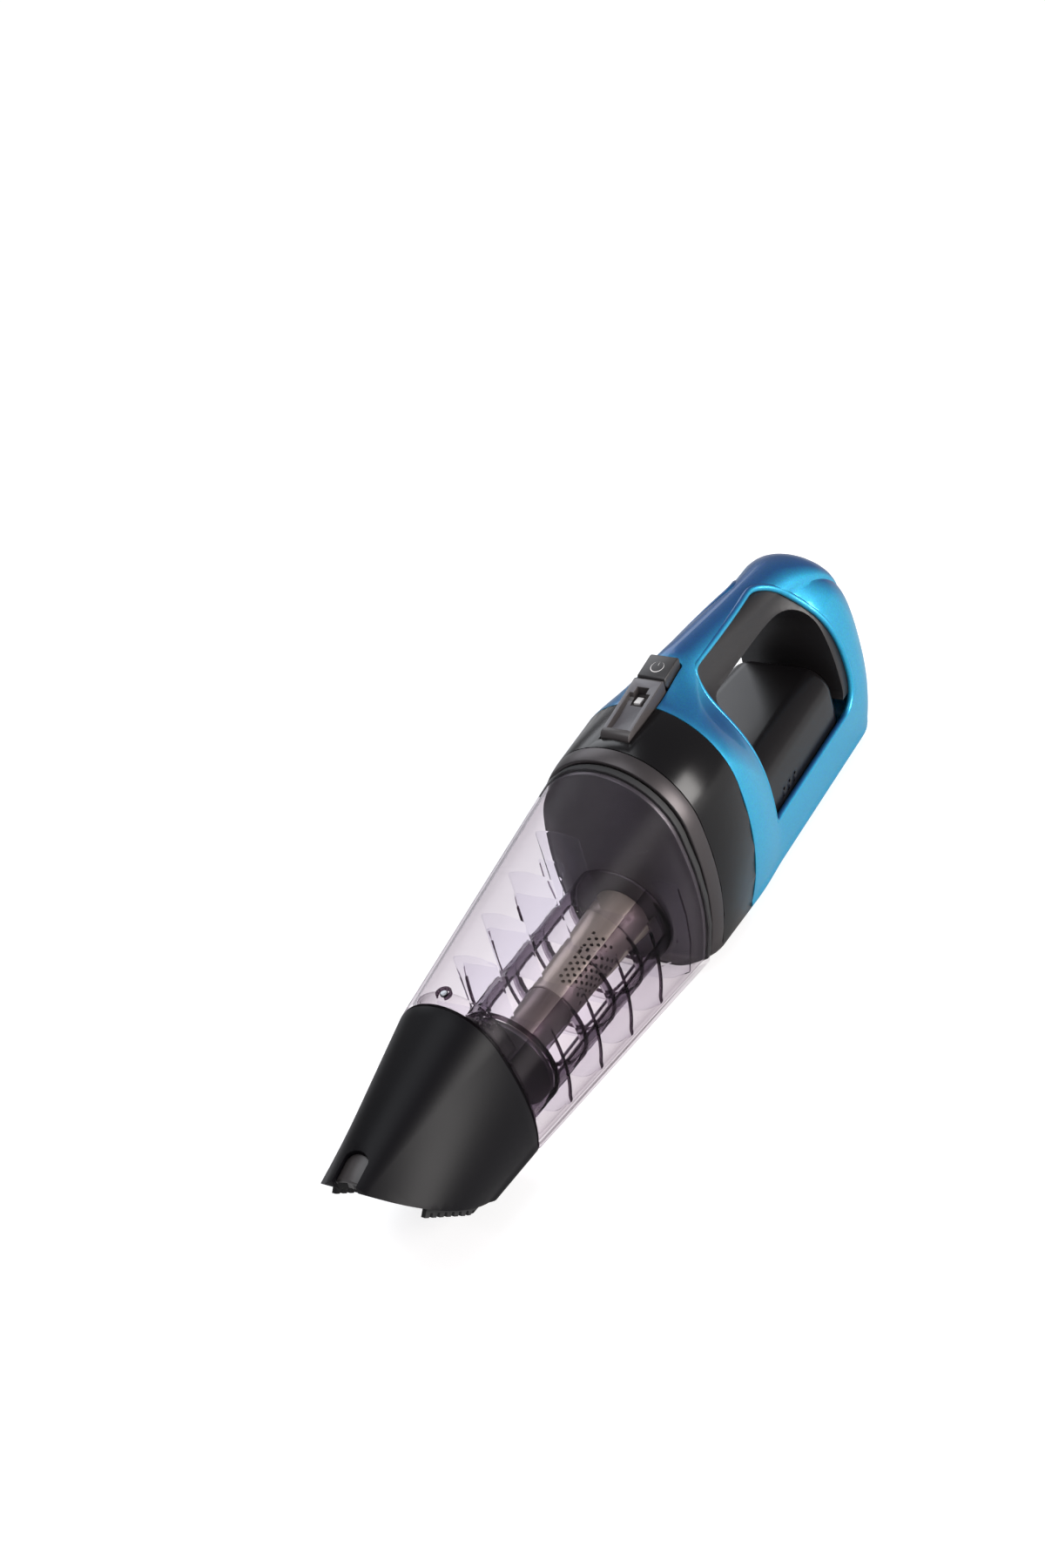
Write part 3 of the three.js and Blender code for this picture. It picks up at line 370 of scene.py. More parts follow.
# %% [markdown]
# The bin and the nozzle taper in a straight line, so each of their sections is a mix of the ones at
# their two ends. The bin's length is read off the frame, from the nozzle's rim to the flange.


# %% Lofts of the bin and the nozzle
def mix_sections(a, b, t):
    return {key: mix(a[key], b[key], t) for key in a}


def bin_section(x):
    return mix_sections(RIM, FLANGE_SECTION, (x + BIN_LENGTH) / BIN_LENGTH)


def nozzle_section(x):
    return mix_sections(NOSE, RIM, (x - NOZZLE_TIP) / (-BIN_LENGTH - NOZZLE_TIP))


def bin_loft(name, x0, x1, wall=0.0, pitch=8):
    return loft(name, [(x, body_outline(inset(bin_section(x), wall))) for x in spread(x0, x1, pitch)])


def nozzle_loft(name, x0, x1, wall=0.0):
    return loft(name, [(x, body_outline(inset(nozzle_section(x), wall))) for x in spread(x0, x1, 5)])


RIM_GAP = 0.6
BIN_LENGTH = -round(behind_flange(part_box("nozzle_shell")[1].x) + RIM_GAP, 1)
print("bin length", BIN_LENGTH)

# %% [markdown]
# Finishes come next. They are built from nodes, as in the shader editor. These helpers add one node
# of a kind, feed its inputs with values or with other nodes' outputs, and hand back its output, so
# that a material reads like a formula.


# %% Node helpers
def group(name, inputs, outputs):
    tree = bpy.data.node_groups.new(name, "ShaderNodeTree")
    for label, value in inputs:
        made = tree.interface.new_socket(label, in_out="INPUT", socket_type="NodeSocketFloat")
        made.default_value = value
    for label in outputs:
        tree.interface.new_socket(label, in_out="OUTPUT", socket_type="NodeSocketFloat")
    return tree, tree.nodes.new("NodeGroupInput"), tree.nodes.new("NodeGroupOutput")


def noise(tree, scale, detail, vector):
    made = tree.nodes.new("ShaderNodeTexNoise")
    made.inputs["Detail"].default_value = detail
    tree.links.new(scale, made.inputs["Scale"])
    tree.links.new(vector, made.inputs["Vector"])
    return made.outputs["Fac"]


def feed(tree, socket, value):
    """Links another node's output to a socket, or writes a plain value there."""
    if isinstance(value, bpy.types.NodeSocket):
        tree.links.new(value, socket)
    else:
        socket.default_value = value


def math_node(tree, operation, *values, clamped=False):
    made = tree.nodes.new("ShaderNodeMath")
    made.operation = operation
    made.use_clamp = clamped
    for socket, value in zip(made.inputs, values):
        feed(tree, socket, value)
    return made.outputs[0]


def mixed(tree, amount, first, second, blend="MIX"):
    made = tree.nodes.new("ShaderNodeMix")
    made.data_type = "RGBA"
    made.blend_type = blend
    for socket, value in zip((made.inputs[0], made.inputs[6], made.inputs[7]), (amount, first, second)):
        feed(tree, socket, value)
    return made.outputs[2]


print("node helpers ready")

# %% [markdown]
# Moulded plastics share one effect: a slow change of tone and a very fine grain from the tool. It
# could be repeated in every material, but as a node group it is built once and placed in each of
# them with its own values.

# %% Node group for moulded grain
grain_group, grain_in, grain_out = group("moulded_grain", [("Grain Scale", 2600.0), ("Tone Scale", 22.0)],
                                         ["Grain", "Tone"])
grain_place = grain_group.nodes.new("ShaderNodeTexCoord")
for label in ("Grain", "Tone"):
    pattern = noise(grain_group, grain_in.outputs[label + " Scale"], 2.0, grain_place.outputs["Object"])
    grain_group.links.new(pattern, grain_out.inputs[label])
print("group", grain_group.name)

# %% [markdown]
# Drawn and rolled metal shows fine lines along its length. A noise that is stretched fifty times
# along X gives them, where a wave texture would look too even.

# %% Node group for drawn metal
drawn_group, drawn_in, drawn_out = group("drawn_lines", [("Scale", 900.0)], ["Lines"])
drawn_place = drawn_group.nodes.new("ShaderNodeTexCoord")
drawn_map = drawn_group.nodes.new("ShaderNodeMapping")
drawn_map.inputs["Scale"].default_value = (0.02, 1.0, 1.0)
drawn_group.links.new(drawn_place.outputs["Object"], drawn_map.inputs["Vector"])
lines = noise(drawn_group, drawn_in.outputs["Scale"], 4.0, drawn_map.outputs["Vector"])
drawn_group.links.new(lines, drawn_out.inputs["Lines"])
print("group", drawn_group.name)

# %% [markdown]
# A clear plate is nearly colourless through its faces and dark along its cut edge, where one looks
# through its whole width. The baffle plates show it. The group's mask picks the surfaces that face
# sideways or down rather than along the length, below a given height. On the cage that takes in the
# whole wall but its top, so the cage is darker at its sides and below than on top.

# %% Node group for dark edges
edge_group, edge_in, edge_out = group("dark_edges", [("Top", 0.2)], ["Mask"])
edge_place = edge_group.nodes.new("ShaderNodeTexCoord")
edge_facing = edge_group.nodes.new("ShaderNodeSeparateXYZ")
edge_spot = edge_group.nodes.new("ShaderNodeSeparateXYZ")
edge_group.links.new(edge_place.outputs["Normal"], edge_facing.inputs[0])
edge_group.links.new(edge_place.outputs["Object"], edge_spot.inputs[0])
along_length = math_node(edge_group, "ABSOLUTE", edge_facing.outputs["X"])
thin = math_node(edge_group, "LESS_THAN", along_length, 0.6)
low_down = math_node(edge_group, "LESS_THAN", edge_spot.outputs["Z"], edge_in.outputs["Top"])
not_up = math_node(edge_group, "LESS_THAN", edge_facing.outputs["Z"], 0.7)
mask = math_node(edge_group, "MULTIPLY", math_node(edge_group, "MULTIPLY", thin, low_down), not_up)
edge_group.links.new(mask, edge_out.inputs["Mask"])
print("group", edge_group.name)

# %% [markdown]
# Colours are written as they look on screen, in 0 to 255, and turned to linear values for the
# shader. Every material starts from the same shader node, and the effects above are placed in it as
# group nodes with values of their own.


# %% Colours and new materials
def tone(r, g, b):
    def channel(v):
        v /= 255
        return v / 12.92 if v <= 0.04045 else ((v + 0.055) / 1.055) ** 2.4
    return (channel(r), channel(g), channel(b), 1.0)


def new_material(name):
    material = bpy.data.materials.new(name)
    material.use_nodes = True
    return material, material.node_tree, material.node_tree.nodes["Principled BSDF"]


def placed_group(tree, source, **values):
    made = tree.nodes.new("ShaderNodeGroup")
    made.node_tree = source
    for label, value in values.items():
        made.inputs[label.replace("_", " ")].default_value = value
    return made.outputs


print("white in linear values", tone(255, 255, 255))

# %% [markdown]
# One helper makes a plastic or a metal from its colour, gloss and grain. No real moulding is one
# flat colour, so the tone and the gloss both drift a little over the surface, and a very low bump
# gives the grain, or the drawn lines of a metal.

# %% Plastic and metal helper
GLOSS_DRIFT = 0.08
GRAIN_DEPTH = 0.2 * MM


def plastic(name, colour, roughness=0.35, metallic=0.0, grain=0.03, grain_scale=2600.0, vary=0.12,
            coat=0.0, specular=0.5, lines=False):
    material, tree, shader = new_material(name)
    shader.inputs["Metallic"].default_value = metallic
    shader.inputs["Coat Weight"].default_value = coat
    shader.inputs["Coat Roughness"].default_value = 0.06
    shader.inputs["Specular IOR Level"].default_value = specular
    effect = placed_group(tree, grain_group, Grain_Scale=grain_scale)
    height = placed_group(tree, drawn_group)["Lines"] if lines else effect["Grain"]
    ramp = tree.nodes.new("ShaderNodeValToRGB")
    base = Vector(colour[:3])
    ramp.color_ramp.elements[0].position = 0.3
    ramp.color_ramp.elements[0].color = (*(base * (1 - vary)), 1)
    ramp.color_ramp.elements[1].position = 0.7
    ramp.color_ramp.elements[1].color = (*(base * (1 + vary)), 1)
    tree.links.new(height if lines else effect["Tone"], ramp.inputs["Fac"])
    tree.links.new(ramp.outputs["Color"], shader.inputs["Base Color"])
    rough = math_node(tree, "MULTIPLY_ADD", effect["Tone"], GLOSS_DRIFT, roughness - GLOSS_DRIFT / 2)
    tree.links.new(rough, shader.inputs["Roughness"])
    bump = tree.nodes.new("ShaderNodeBump")
    bump.inputs["Strength"].default_value = grain
    bump.inputs["Distance"].default_value = GRAIN_DEPTH
    tree.links.new(height, bump.inputs["Height"])
    tree.links.new(bump.outputs["Normal"], shader.inputs["Normal"])
    return material


print("plastic and metal helper ready, gloss drifts by", GLOSS_DRIFT)

# %% [markdown]
# Clear parts are made as real walls with a refracting shader, whose tint deepens where the wall is
# seen edge on. The bending is kept very low, since thick glass bending would hide the filter. Light
# that only passes through to reach what lies behind goes straight, by a transparent shader on
# shadow, diffuse and mirrored rays, so the filter inside is lit as under a studio lamp. A refracted
# ray counts as a glossy one too, so the mirrored rays are the glossy ones less the transmitted ones.


# %% Clear material helper
BENDING = 1.02


def clear(name, colour, rim, edge=None, coat=0.1, edge_top=200.0, fade=3.0, fade_down=False):
    material, tree, shader = new_material(name)
    shader.inputs["Transmission Weight"].default_value = 1.0
    shader.inputs["IOR"].default_value = BENDING
    shader.inputs["Coat Weight"].default_value = coat
    shader.inputs["Coat Roughness"].default_value = 0.3
    effect = placed_group(tree, grain_group, Tone_Scale=40.0)
    tree.links.new(math_node(tree, "MULTIPLY", effect["Tone"], 0.01), shader.inputs["Roughness"])
    glance = tree.nodes.new("ShaderNodeLayerWeight")
    glance.inputs["Blend"].default_value = 0.5
    steep = math_node(tree, "POWER", glance.outputs["Facing"], fade)
    if fade_down:
        facing = tree.nodes.new("ShaderNodeTexCoord")
        normal = tree.nodes.new("ShaderNodeSeparateXYZ")
        tree.links.new(facing.outputs["Normal"], normal.inputs[0])
        not_below = math_node(tree, "MULTIPLY_ADD", normal.outputs["Z"], 2.5, 1.2, clamped=True)
        steep = math_node(tree, "MULTIPLY", steep, not_below)
    base = mixed(tree, steep, colour, rim)
    if edge:
        mask = placed_group(tree, edge_group, Top=edge_top * MM)["Mask"]
        base = mixed(tree, mask, base, edge)
    tree.links.new(base, shader.inputs["Base Color"])
    through = tree.nodes.new("ShaderNodeBsdfTransparent")
    through.inputs["Color"].default_value = colour
    path = tree.nodes.new("ShaderNodeLightPath").outputs
    either = math_node(tree, "MAXIMUM", path["Is Shadow Ray"], path["Is Diffuse Ray"])
    mirrored = math_node(tree, "SUBTRACT", path["Is Glossy Ray"], path["Is Transmission Ray"], clamped=True)
    either = math_node(tree, "MAXIMUM", either, mirrored)
    blend = tree.nodes.new("ShaderNodeMixShader")
    out = tree.nodes["Material Output"]
    tree.links.new(either, blend.inputs[0])
    tree.links.new(shader.outputs[0], blend.inputs[1])
    tree.links.new(through.outputs[0], blend.inputs[2])
    tree.links.new(blend.outputs[0], out.inputs["Surface"])
    return material


print("clear helper ready, bending", BENDING)

# %% [markdown]
# The finishes of this product, one call each: blacks of three different glosses, the silver of the
# trim band, the drawn steel of the filter tube, the greys of the controls, and what lies inside.

# %% Finishes of this product
nozzle_black = plastic("nozzle_black", tone(6, 5, 8), roughness=0.42, grain=0.015, specular=0.13)
gloss_black = plastic("gloss_black", tone(8, 7, 8), roughness=0.22, grain=0.01, specular=0.32)
barrel_black = plastic("barrel_black", tone(14, 12, 13), roughness=0.3, grain=0.01, specular=0.36)
liner_grey = plastic("liner_grey", tone(22, 20, 21), roughness=0.4, grain=0.06, grain_scale=1800.0)
soft_rubber = plastic("soft_rubber", tone(30, 30, 31), roughness=0.7, grain=0.2, grain_scale=1500.0)
band_silver = plastic("band_silver", tone(70, 66, 67), roughness=0.4, metallic=0.75, grain=0.01, vary=0.04)
cone_grey = plastic("cone_grey", tone(62, 60, 64), roughness=0.36, metallic=0.35, grain=0.03, specular=0.7)
steel = plastic("filter_steel", tone(150, 147, 134), roughness=0.3, metallic=0.6, grain=0.03, vary=0.05,
                lines=True)
dark_steel = plastic("dark_steel", tone(106, 100, 96), roughness=0.34, metallic=0.6, grain=0.08, vary=0.1,
                     lines=True)
control_grey = plastic("control_grey", tone(58, 54, 54), roughness=0.34, grain=0.04, specular=0.5)
scoop_grey = plastic("scoop_grey", tone(92, 90, 94), roughness=0.36, grain=0.04)
button_dark = plastic("button_dark", tone(34, 32, 33), roughness=0.38, grain=0.05)
symbol_pale = plastic("symbol_pale", tone(225, 222, 220), roughness=0.5, grain=0.02, vary=0.02)
can_metal = plastic("can_metal", tone(160, 162, 166), roughness=0.35, metallic=0.9, grain=0.1, lines=True)
filter_paper = plastic("filter_paper", tone(226, 220, 206), roughness=0.9, grain=0.5, grain_scale=900.0)
board_green = plastic("board_green", tone(32, 96, 66), roughness=0.5, grain=0.1, grain_scale=900.0,
                      vary=0.25)
cell_sleeve = plastic("cell_sleeve", tone(58, 128, 170), roughness=0.35, grain=0.03)
inner_dark = plastic("inner_dark", tone(44, 43, 46), roughness=0.5, grain=0.1)
print("finishes", len(bpy.data.materials))

# %% [markdown]
# The clear finishes differ in tint. The bin is nearly colourless, the cage is smoked, its ribs are
# dark all through, and the baffle plates only darken along their cut edges, below the shoulder.

# %% Clear finishes
bin_clear = clear("bin_clear", tone(251, 248, 250), tone(146, 132, 144), coat=0.05, fade=2.1, fade_down=True)
# The edge tone covers the cage's whole wall but its top, so the cage is darker at its sides and below.
cage_smoke = clear("cage_smoke", tone(249, 246, 248), tone(78, 70, 80), edge=tone(140, 130, 142), fade=2.1)
rib_smoke = clear("rib_smoke", tone(92, 78, 90), tone(58, 48, 56))
plate_clear = clear("plate_clear", tone(248, 247, 251), tone(238, 236, 244), edge=tone(84, 72, 86),
                    edge_top=66)
print("materials", len(bpy.data.materials))

# %% [markdown]
# The blue shell is a metallic paint under a clear coat, whose fine flakes catch the light. Its tone
# carries painted shade: where a spot faces upwards and rearwards it is mixed from a lit cyan towards
# a darker violet blue that stands for the shade on top. A cell pattern gives the flakes.

# %% Metallic blue
blue_paint = plastic("blue_paint", tone(34, 128, 184), roughness=0.42, metallic=0.5, grain=0.0, coat=0.3)
# Painted shade: surfaces facing up and back take the dark violet blue, those facing the lamps the lit cyan.
LIT_SIDE_CYAN, SHADED_TOP_VIOLET = tone(30, 146, 184), tone(21, 76, 128)
tree = blue_paint.node_tree
where = tree.nodes.new("ShaderNodeTexCoord")
facing = tree.nodes.new("ShaderNodeVectorMath")
facing.operation = "DOT_PRODUCT"
facing.inputs[1].default_value = (1.5, 0, 1.8)
tree.links.new(where.outputs["Normal"], facing.inputs[0])
shade_amount = math_node(tree, "ADD", facing.outputs["Value"], -0.75, clamped=True)
painted_shade = mixed(tree, shade_amount, LIT_SIDE_CYAN, SHADED_TOP_VIOLET)
flakes = tree.nodes.new("ShaderNodeTexVoronoi")
flakes.inputs["Scale"].default_value = 2400.0
tree.links.new(where.outputs["Object"], flakes.inputs["Vector"])
sparkle = mixed(tree, 0.16, painted_shade, flakes.outputs["Color"], blend="OVERLAY")
tree.links.new(sparkle, tree.nodes["Principled BSDF"].inputs["Base Color"])
print("blue paint ready")


# %% [markdown]
# Each finished piece gets its material, the CAD node it stands for and its body in one call, so that
# nothing is forgotten. Small parts whose form is already true could be shown as they are, but a
# merged copy with softened edges catches the light as a moulded part does.


# %% Finish helper
def finish(obj, material, body, slot, *nodes):
    obj.data.materials.clear()
    obj.data.materials.append(material)
    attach(obj, body)
    if nodes:
        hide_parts(*nodes)
    print(obj.name, len(obj.data.polygons), "faces")
    return obj


def refine(node, name, material, body, slot, width=0.25):
    """A merged, softened copy of a CAD node."""
    obj = copy_of(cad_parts[node], name)
    obj.parent = None
    obj.matrix_world = Matrix.Identity(4)
    edit(obj)
    bpy.ops.mesh.remove_doubles(threshold=2e-6)
    bpy.ops.mesh.dissolve_limited(angle_limit=math.radians(2))
    leave()
    soften(obj, width=width)
    return finish(obj, material, body, slot, node)


print("finish and refine helpers ready")


# %% [markdown]
# The nozzle is a hollow black horn, cut off at a slant to make the mouth, with a narrow slot in
# its tip. It could be sculpted from a cylinder, but its rim has to meet the bin, so it is a loft of
# the same sections with a wall inwards. A big slanted block with a bulge cuts the mouth, and a
# small prism with a round end cuts the slot.

# %% Nozzle
MOUTH_TOP = 69.5
MOUTH_BACK = -184
MOUTH_SLOPE = math.atan2(MOUTH_TOP - NOSE["corner"], MOUTH_BACK - NOZZLE_TIP)
MOUTH_BULGE = 6.5
NOZZLE_RIM = -BIN_LENGTH - RIM_GAP
NOZZLE_WALL = 2.2
SLOT_HALF = 6.5
SLOT_END = -230
SLOT_DEPTH = 15


def mouth_block():
    reach = 160
    tangent = Vector((math.cos(MOUTH_SLOPE), -math.sin(MOUTH_SLOPE))) * reach
    down = Vector((-math.sin(MOUTH_SLOPE), -math.cos(MOUTH_SLOPE)))
    tip = Vector((NOZZLE_TIP, MOUTH_TOP))
    heel = Vector((MOUTH_BACK, NOSE["corner"]))
    bulge = tip.lerp(heel, 0.38) + down * MOUTH_BULGE
    edge = [Vector(p) for p in bezier([tip, bulge, heel], 20)]
    outline = [tip - tangent] + edge + [heel + tangent]
    outline += [heel + tangent + down * reach, tip - tangent + down * reach]
    return prism("mouth_cut", [tuple(p) for p in outline], -FAR, FAR)


nozzle = nozzle_loft("nozzle", NOZZLE_TIP, NOZZLE_RIM)
hollow = nozzle_loft("hollow", NOZZLE_TIP + NOZZLE_WALL, NOZZLE_RIM + 1, NOZZLE_WALL)
slot_turns = [k / 8 * math.pi for k in range(9)]
slot_shape = [(SLOT_END + 4 * math.sin(turn), -SLOT_HALF * math.cos(turn)) for turn in slot_turns]
slot_shape += [(NOZZLE_TIP - 6, SLOT_HALF), (NOZZLE_TIP - 6, -SLOT_HALF)]
slot_cut = prism("slot_cut", slot_shape, MOUTH_TOP - SLOT_DEPTH, 115, axis="Z")
cut(nozzle, hollow, mouth_block(), slot_cut)
soften(nozzle, width=0.7, segments=3, angle=40)
finish(nozzle, nozzle_black, "bin", "nozzle", "nozzle_shell")

# %% [markdown]
# A tongue fills the slot from below, a rubber comb lies along each edge of the mouth, and a seal
# lies between nozzle and bin. Their frame forms are true, so each is a softened copy of its node.

# %% Pieces in the nozzle
refine("nozzle_tongue", "nozzle_tongue_piece", control_grey, "bin", "dark_plastic")
for side in ("left", "right"):
    refine(f"comb_{side}", f"comb_{side}_piece", soft_rubber, "bin", "rubber", width=0.3)
refine("nozzle_seal", "nozzle_seal_piece", soft_rubber, "bin", "rubber", width=0.2)

# %% [markdown]
# The dust bin is one clear moulding with a two millimetre wall. Solidify could give the wall, but
# a second loft that cuts the first keeps the wall even where the section tapers. A dark line marks
# its front rim.

# %% Dust bin
BIN_FRONT = -BIN_LENGTH + 1.5
BIN_BACK = -4
BIN_WALL = 2
dust_bin = bin_loft("dust_bin", BIN_FRONT, BIN_BACK)
cut(dust_bin, bin_loft("hollow", BIN_FRONT - 1, BIN_BACK + 1, BIN_WALL))
soften(dust_bin, width=0.5, segments=3, angle=40)
finish(dust_bin, bin_clear, "bin", "clear", "bin_shell")

rim_line = bin_loft("bin_rim_line", BIN_FRONT - 1.7, BIN_FRONT - 0.3, 0.3)
cut(rim_line, bin_loft("hollow", BIN_FRONT - 3, BIN_FRONT + 1, BIN_WALL + 0.6))
soften(rim_line, width=0.25)
finish(rim_line, rib_smoke, "bin", "clear")

# %% [markdown]
# A small lug stands on top of the bin's front end, an open ring round the steel catch pin. Both are
# short upright rods: a bigger one bored and gated, and a smaller one with a well rounded head.

# %% Lug and catch pin
PIN_X = -146
LUG_RADIUS, LUG_BORE, PIN_RADIUS = 3.8, 2.8, 1.9
LUG_HEIGHT, PIN_HEIGHT = 1.6, 1.1
pin_top = bin_section(PIN_X)["centre"] + bin_section(PIN_X)["r"]


def upright(name, radius, below, above, sides=48):
    return rod(name, radius, (PIN_X, 0, pin_top - below), (PIN_X, 0, pin_top + above), sides)


lug = upright("catch_lug", LUG_RADIUS, 0.6, LUG_HEIGHT)
cut(lug, upright("hole", LUG_BORE, 3, 5),
    block("gate", PIN_X - 9, -2, pin_top - 3, PIN_X - 1.5, 2, pin_top + 6))
soften(lug, width=0.35)
finish(lug, rib_smoke, "bin", "clear")
pin = upright("catch_pin_piece", PIN_RADIUS, 0.5, PIN_HEIGHT, 32)
soften(pin, width=0.5, segments=3)
finish(pin, can_metal, "bin", "metal_can", "catch_pin")

# %% [markdown]
# A rubber seal lies against the flange, and a smoked plate with the inlet port closes the front of
# the bin. New lofts would only repeat the frame's, so both keep their frame form, softened.

# %% Seal and inlet plate
refine("bin_seal", "bin_seal_piece", soft_rubber, "bin", "rubber", width=0.2)
refine("inlet_plate", "inlet_plate_piece", cage_smoke, "bin", "smoky", width=0.2)

# %% [markdown]
# The filter's pieces are round about one axis. Two more helpers serve them: a ring is a rod bored
# out, and a wedge is a piece of a ring between two angles, which are counted from the right-hand
# side upwards. The five levels are those of the baffle plates.

# %% Rings and wedges
AXIS = 40.5
CAGE_RADIUS = 27.5
CAGE_WALL = 1.6
PLATE_HALF = 0.6
CAGE_OVERHANG = 7
WINDOWS = [(-28, 6), (-97, -58), (158, 186)]
LEVELS = [round(behind_flange(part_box(f"baffle_{i}")[0].x) + PLATE_HALF, 2) for i in range(1, 6)]
CAGE_FRONT = behind_flange(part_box("filter_cage")[0].x)
CAGE_BACK = behind_flange(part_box("filter_cage")[1].x) + CAGE_OVERHANG


def axial(name, radius, x0, x1, sides=96, end_radius=None):
    return rod(name, radius, (x0, 0, AXIS), (x1, 0, AXIS), sides, end_radius)


def ring(name, outer, inner, x0, x1):
    return cut(axial(name, outer, x0, x1), axial("bore", inner, x0 - 1, x1 + 1))


def on_circle(radius, turn):
    return (radius * math.cos(turn), AXIS + radius * math.sin(turn))


def wedge(x0, x1, r0, r1, a0, a1, steps=10):
    turns = [math.radians(mix(a0, a1, k / steps)) for k in range(steps + 1)]
    outline = [on_circle(r1, turn) for turn in turns] + [on_circle(r0, turn) for turn in reversed(turns)]
    return prism("window", outline, x0, x1, axis="X")


print("levels", LEVELS)

# %% [markdown]
# The cyclone cage is a smoked tube, closed on top, with a row of four windows on each side and one
# row below. The windows could be cut one by one, but all wedges are joined first, so that a single
# cut makes every window.

# %% Cage
cage = ring("cage", CAGE_RADIUS, CAGE_RADIUS - CAGE_WALL, CAGE_FRONT, CAGE_BACK)
openings = []
for x0, x1 in zip(LEVELS, LEVELS[1:]):
    for a0, a1 in WINDOWS:
        openings.append(wedge(x0 + 0.8, x1 - 4.2, CAGE_RADIUS - 5.5, CAGE_RADIUS + 3.5, a0, a1))
cut(cage, merged(openings, "windows"))
soften(cage, width=0.25)
finish(cage, cage_smoke, "filter", "smoky", "filter_cage")

# %% [markdown]
# The windows' borders read as thin dark lines: open rings at each level, lengthwise strips beside
# the windows, and a collar in front. They could be painted on by a mask, but real ones stand a
# little proud, so they are narrow wedges with the cage's own radius.

# %% Dark lines of the cage
RIB_HALF_TURN = 0.8
ribs = []
for x in LEVELS:
    ribs.append(wedge(x - 0.35, x + 0.45, CAGE_RADIUS - 1.9, CAGE_RADIUS + 0.12, -210, 7, 60))
for turn in (-98, -57, -29, 7, 187):
    ribs.append(wedge(LEVELS[0], LEVELS[-1] + 1.5, CAGE_RADIUS - 1.2, CAGE_RADIUS + 0.1,
                      turn - RIB_HALF_TURN, turn + RIB_HALF_TURN, 2))
ribs.append(ring("collar", CAGE_RADIUS + 0.15, CAGE_RADIUS - 1.7, LEVELS[0] - 1.5, LEVELS[0] + 0.3))
rib_set = merged(ribs, "cage_ribs")
soften(rib_set, width=0.15)
finish(rib_set, rib_smoke, "filter", "smoky")
refine("cage_end", "cage_end_piece", cone_grey, "filter", "cone")

# %% [markdown]
# Five baffle plates cross the bin. Each one is the bin's own section, a little smaller, with its
# shoulders cut away above but for a tongue in the middle, and a round seat for the cage. Four of
# them have a dark bead along their lower sides, cut from the same section. The last one, at the
# cone, is simpler and keeps its frame form.

# %% Baffle plates
TONGUE = 12
SHOULDER = 68
PLATE_GAP = 0.7
BEAD_TOP = 60


def section_slice(name, x, half, wall):
    return bin_loft(name, x - half, x + half, BIN_WALL + wall, pitch=50)


for number, x in enumerate(LEVELS[:-1], 1):
    plate = section_slice(f"baffle_plate_{number}", x, PLATE_HALF, PLATE_GAP)
    cut(plate, block("left", x - 2, -FAR, SHOULDER, x + 2, -TONGUE, 140),
        block("right", x - 2, TONGUE, SHOULDER, x + 2, FAR, 140),
        axial("seat", CAGE_RADIUS + 0.3, x - 2, x + 2))
    soften(plate, width=0.25)
    finish(plate, plate_clear, "filter", "plate", f"baffle_{number}")
    reach = bin_section(x)["foot"] - BIN_WALL - 1.8
    bead = section_slice(f"baffle_edge_{number}", x, PLATE_HALF + 0.1, PLATE_GAP - 0.1)
    cut(bead, section_slice("inside", x, 2, PLATE_GAP + 0.9),
        block("above", x - 3, -FAR, BEAD_TOP, x + 3, FAR, 140),
        block("below", x - 3, -reach, -10, x + 3, reach, 30))
    soften(bead, width=0.2)
    finish(bead, rib_smoke, "filter", "plate")
refine("baffle_5", "baffle_plate_5", plate_clear, "filter", "plate", width=0.0)

# %% [markdown]
# The filter tube is thin drawn steel that narrows towards the nozzle, with a patch of punched holes
# in staggered rows. An Array could repeat the holes, but not round a curve, so one cutter is
# modelled and copied round the tube, and all copies are joined before the cut.

# %% Filter tube
TUBE_RADIUS = 13.8
TUBE_TIP_RADIUS = 10
TUBE_BACK = behind_flange(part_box("filter_tube")[1].x)
TUBE_HEAD = CAGE_BACK - 0.9
HOLE_RADIUS, HOLE_PITCH, HOLE_TURN = 0.95, 4.3, 11.5
HOLE_START, HOLE_MIDDLE = -44, 150


def tube_radius(x):
    return mix(TUBE_TIP_RADIUS, TUBE_RADIUS, (x - LEVELS[0]) / (TUBE_BACK - LEVELS[0]))


def tapered(name, x0, x1, outer):
    return axial(name, tube_radius(x0) + outer, x0, x1, 128, tube_radius(x1) + outer)


def sleeve_of(name, x0, x1, outer, wall):
    return cut(tapered(name, x0, x1, outer), tapered("bore", x0 - 1, x1 + 1, outer - wall))


tube = sleeve_of("filter_tube_piece", LEVELS[0], TUBE_HEAD, 0, 0.8)
punch = rod("punch", HOLE_RADIUS, (0, TUBE_RADIUS - 6, 0), (0, TUBE_RADIUS + 3, 0), 12)
punches = []
for row in range(8):
    for column in range(8):
        spot = copy_of(punch, "punch_copy")
        turn = math.radians(HOLE_MIDDLE + (column - 3.5) * HOLE_TURN)
        along = HOLE_START - (row + (column % 2) / 2) * HOLE_PITCH
        spot.data.transform(Matrix.Translation((along * MM, 0, AXIS * MM)) @ Matrix.Rotation(turn, 4, "X"))
        punches.append(spot)
bpy.data.objects.remove(punch)
cut(tube, merged(punches, "punches"))
soften(tube, width=0.0)
modify(tube, "WEIGHTED_NORMAL", keep_sharp=True)
finish(tube, steel, "filter", "steel", "filter_tube")

# %% [markdown]
# The front third of the tube is a darker sleeve, and a raised seam marks where it ends. A change
# of colour alone would have no edge to catch the light, so both are thin rings that follow the
# tube's taper.

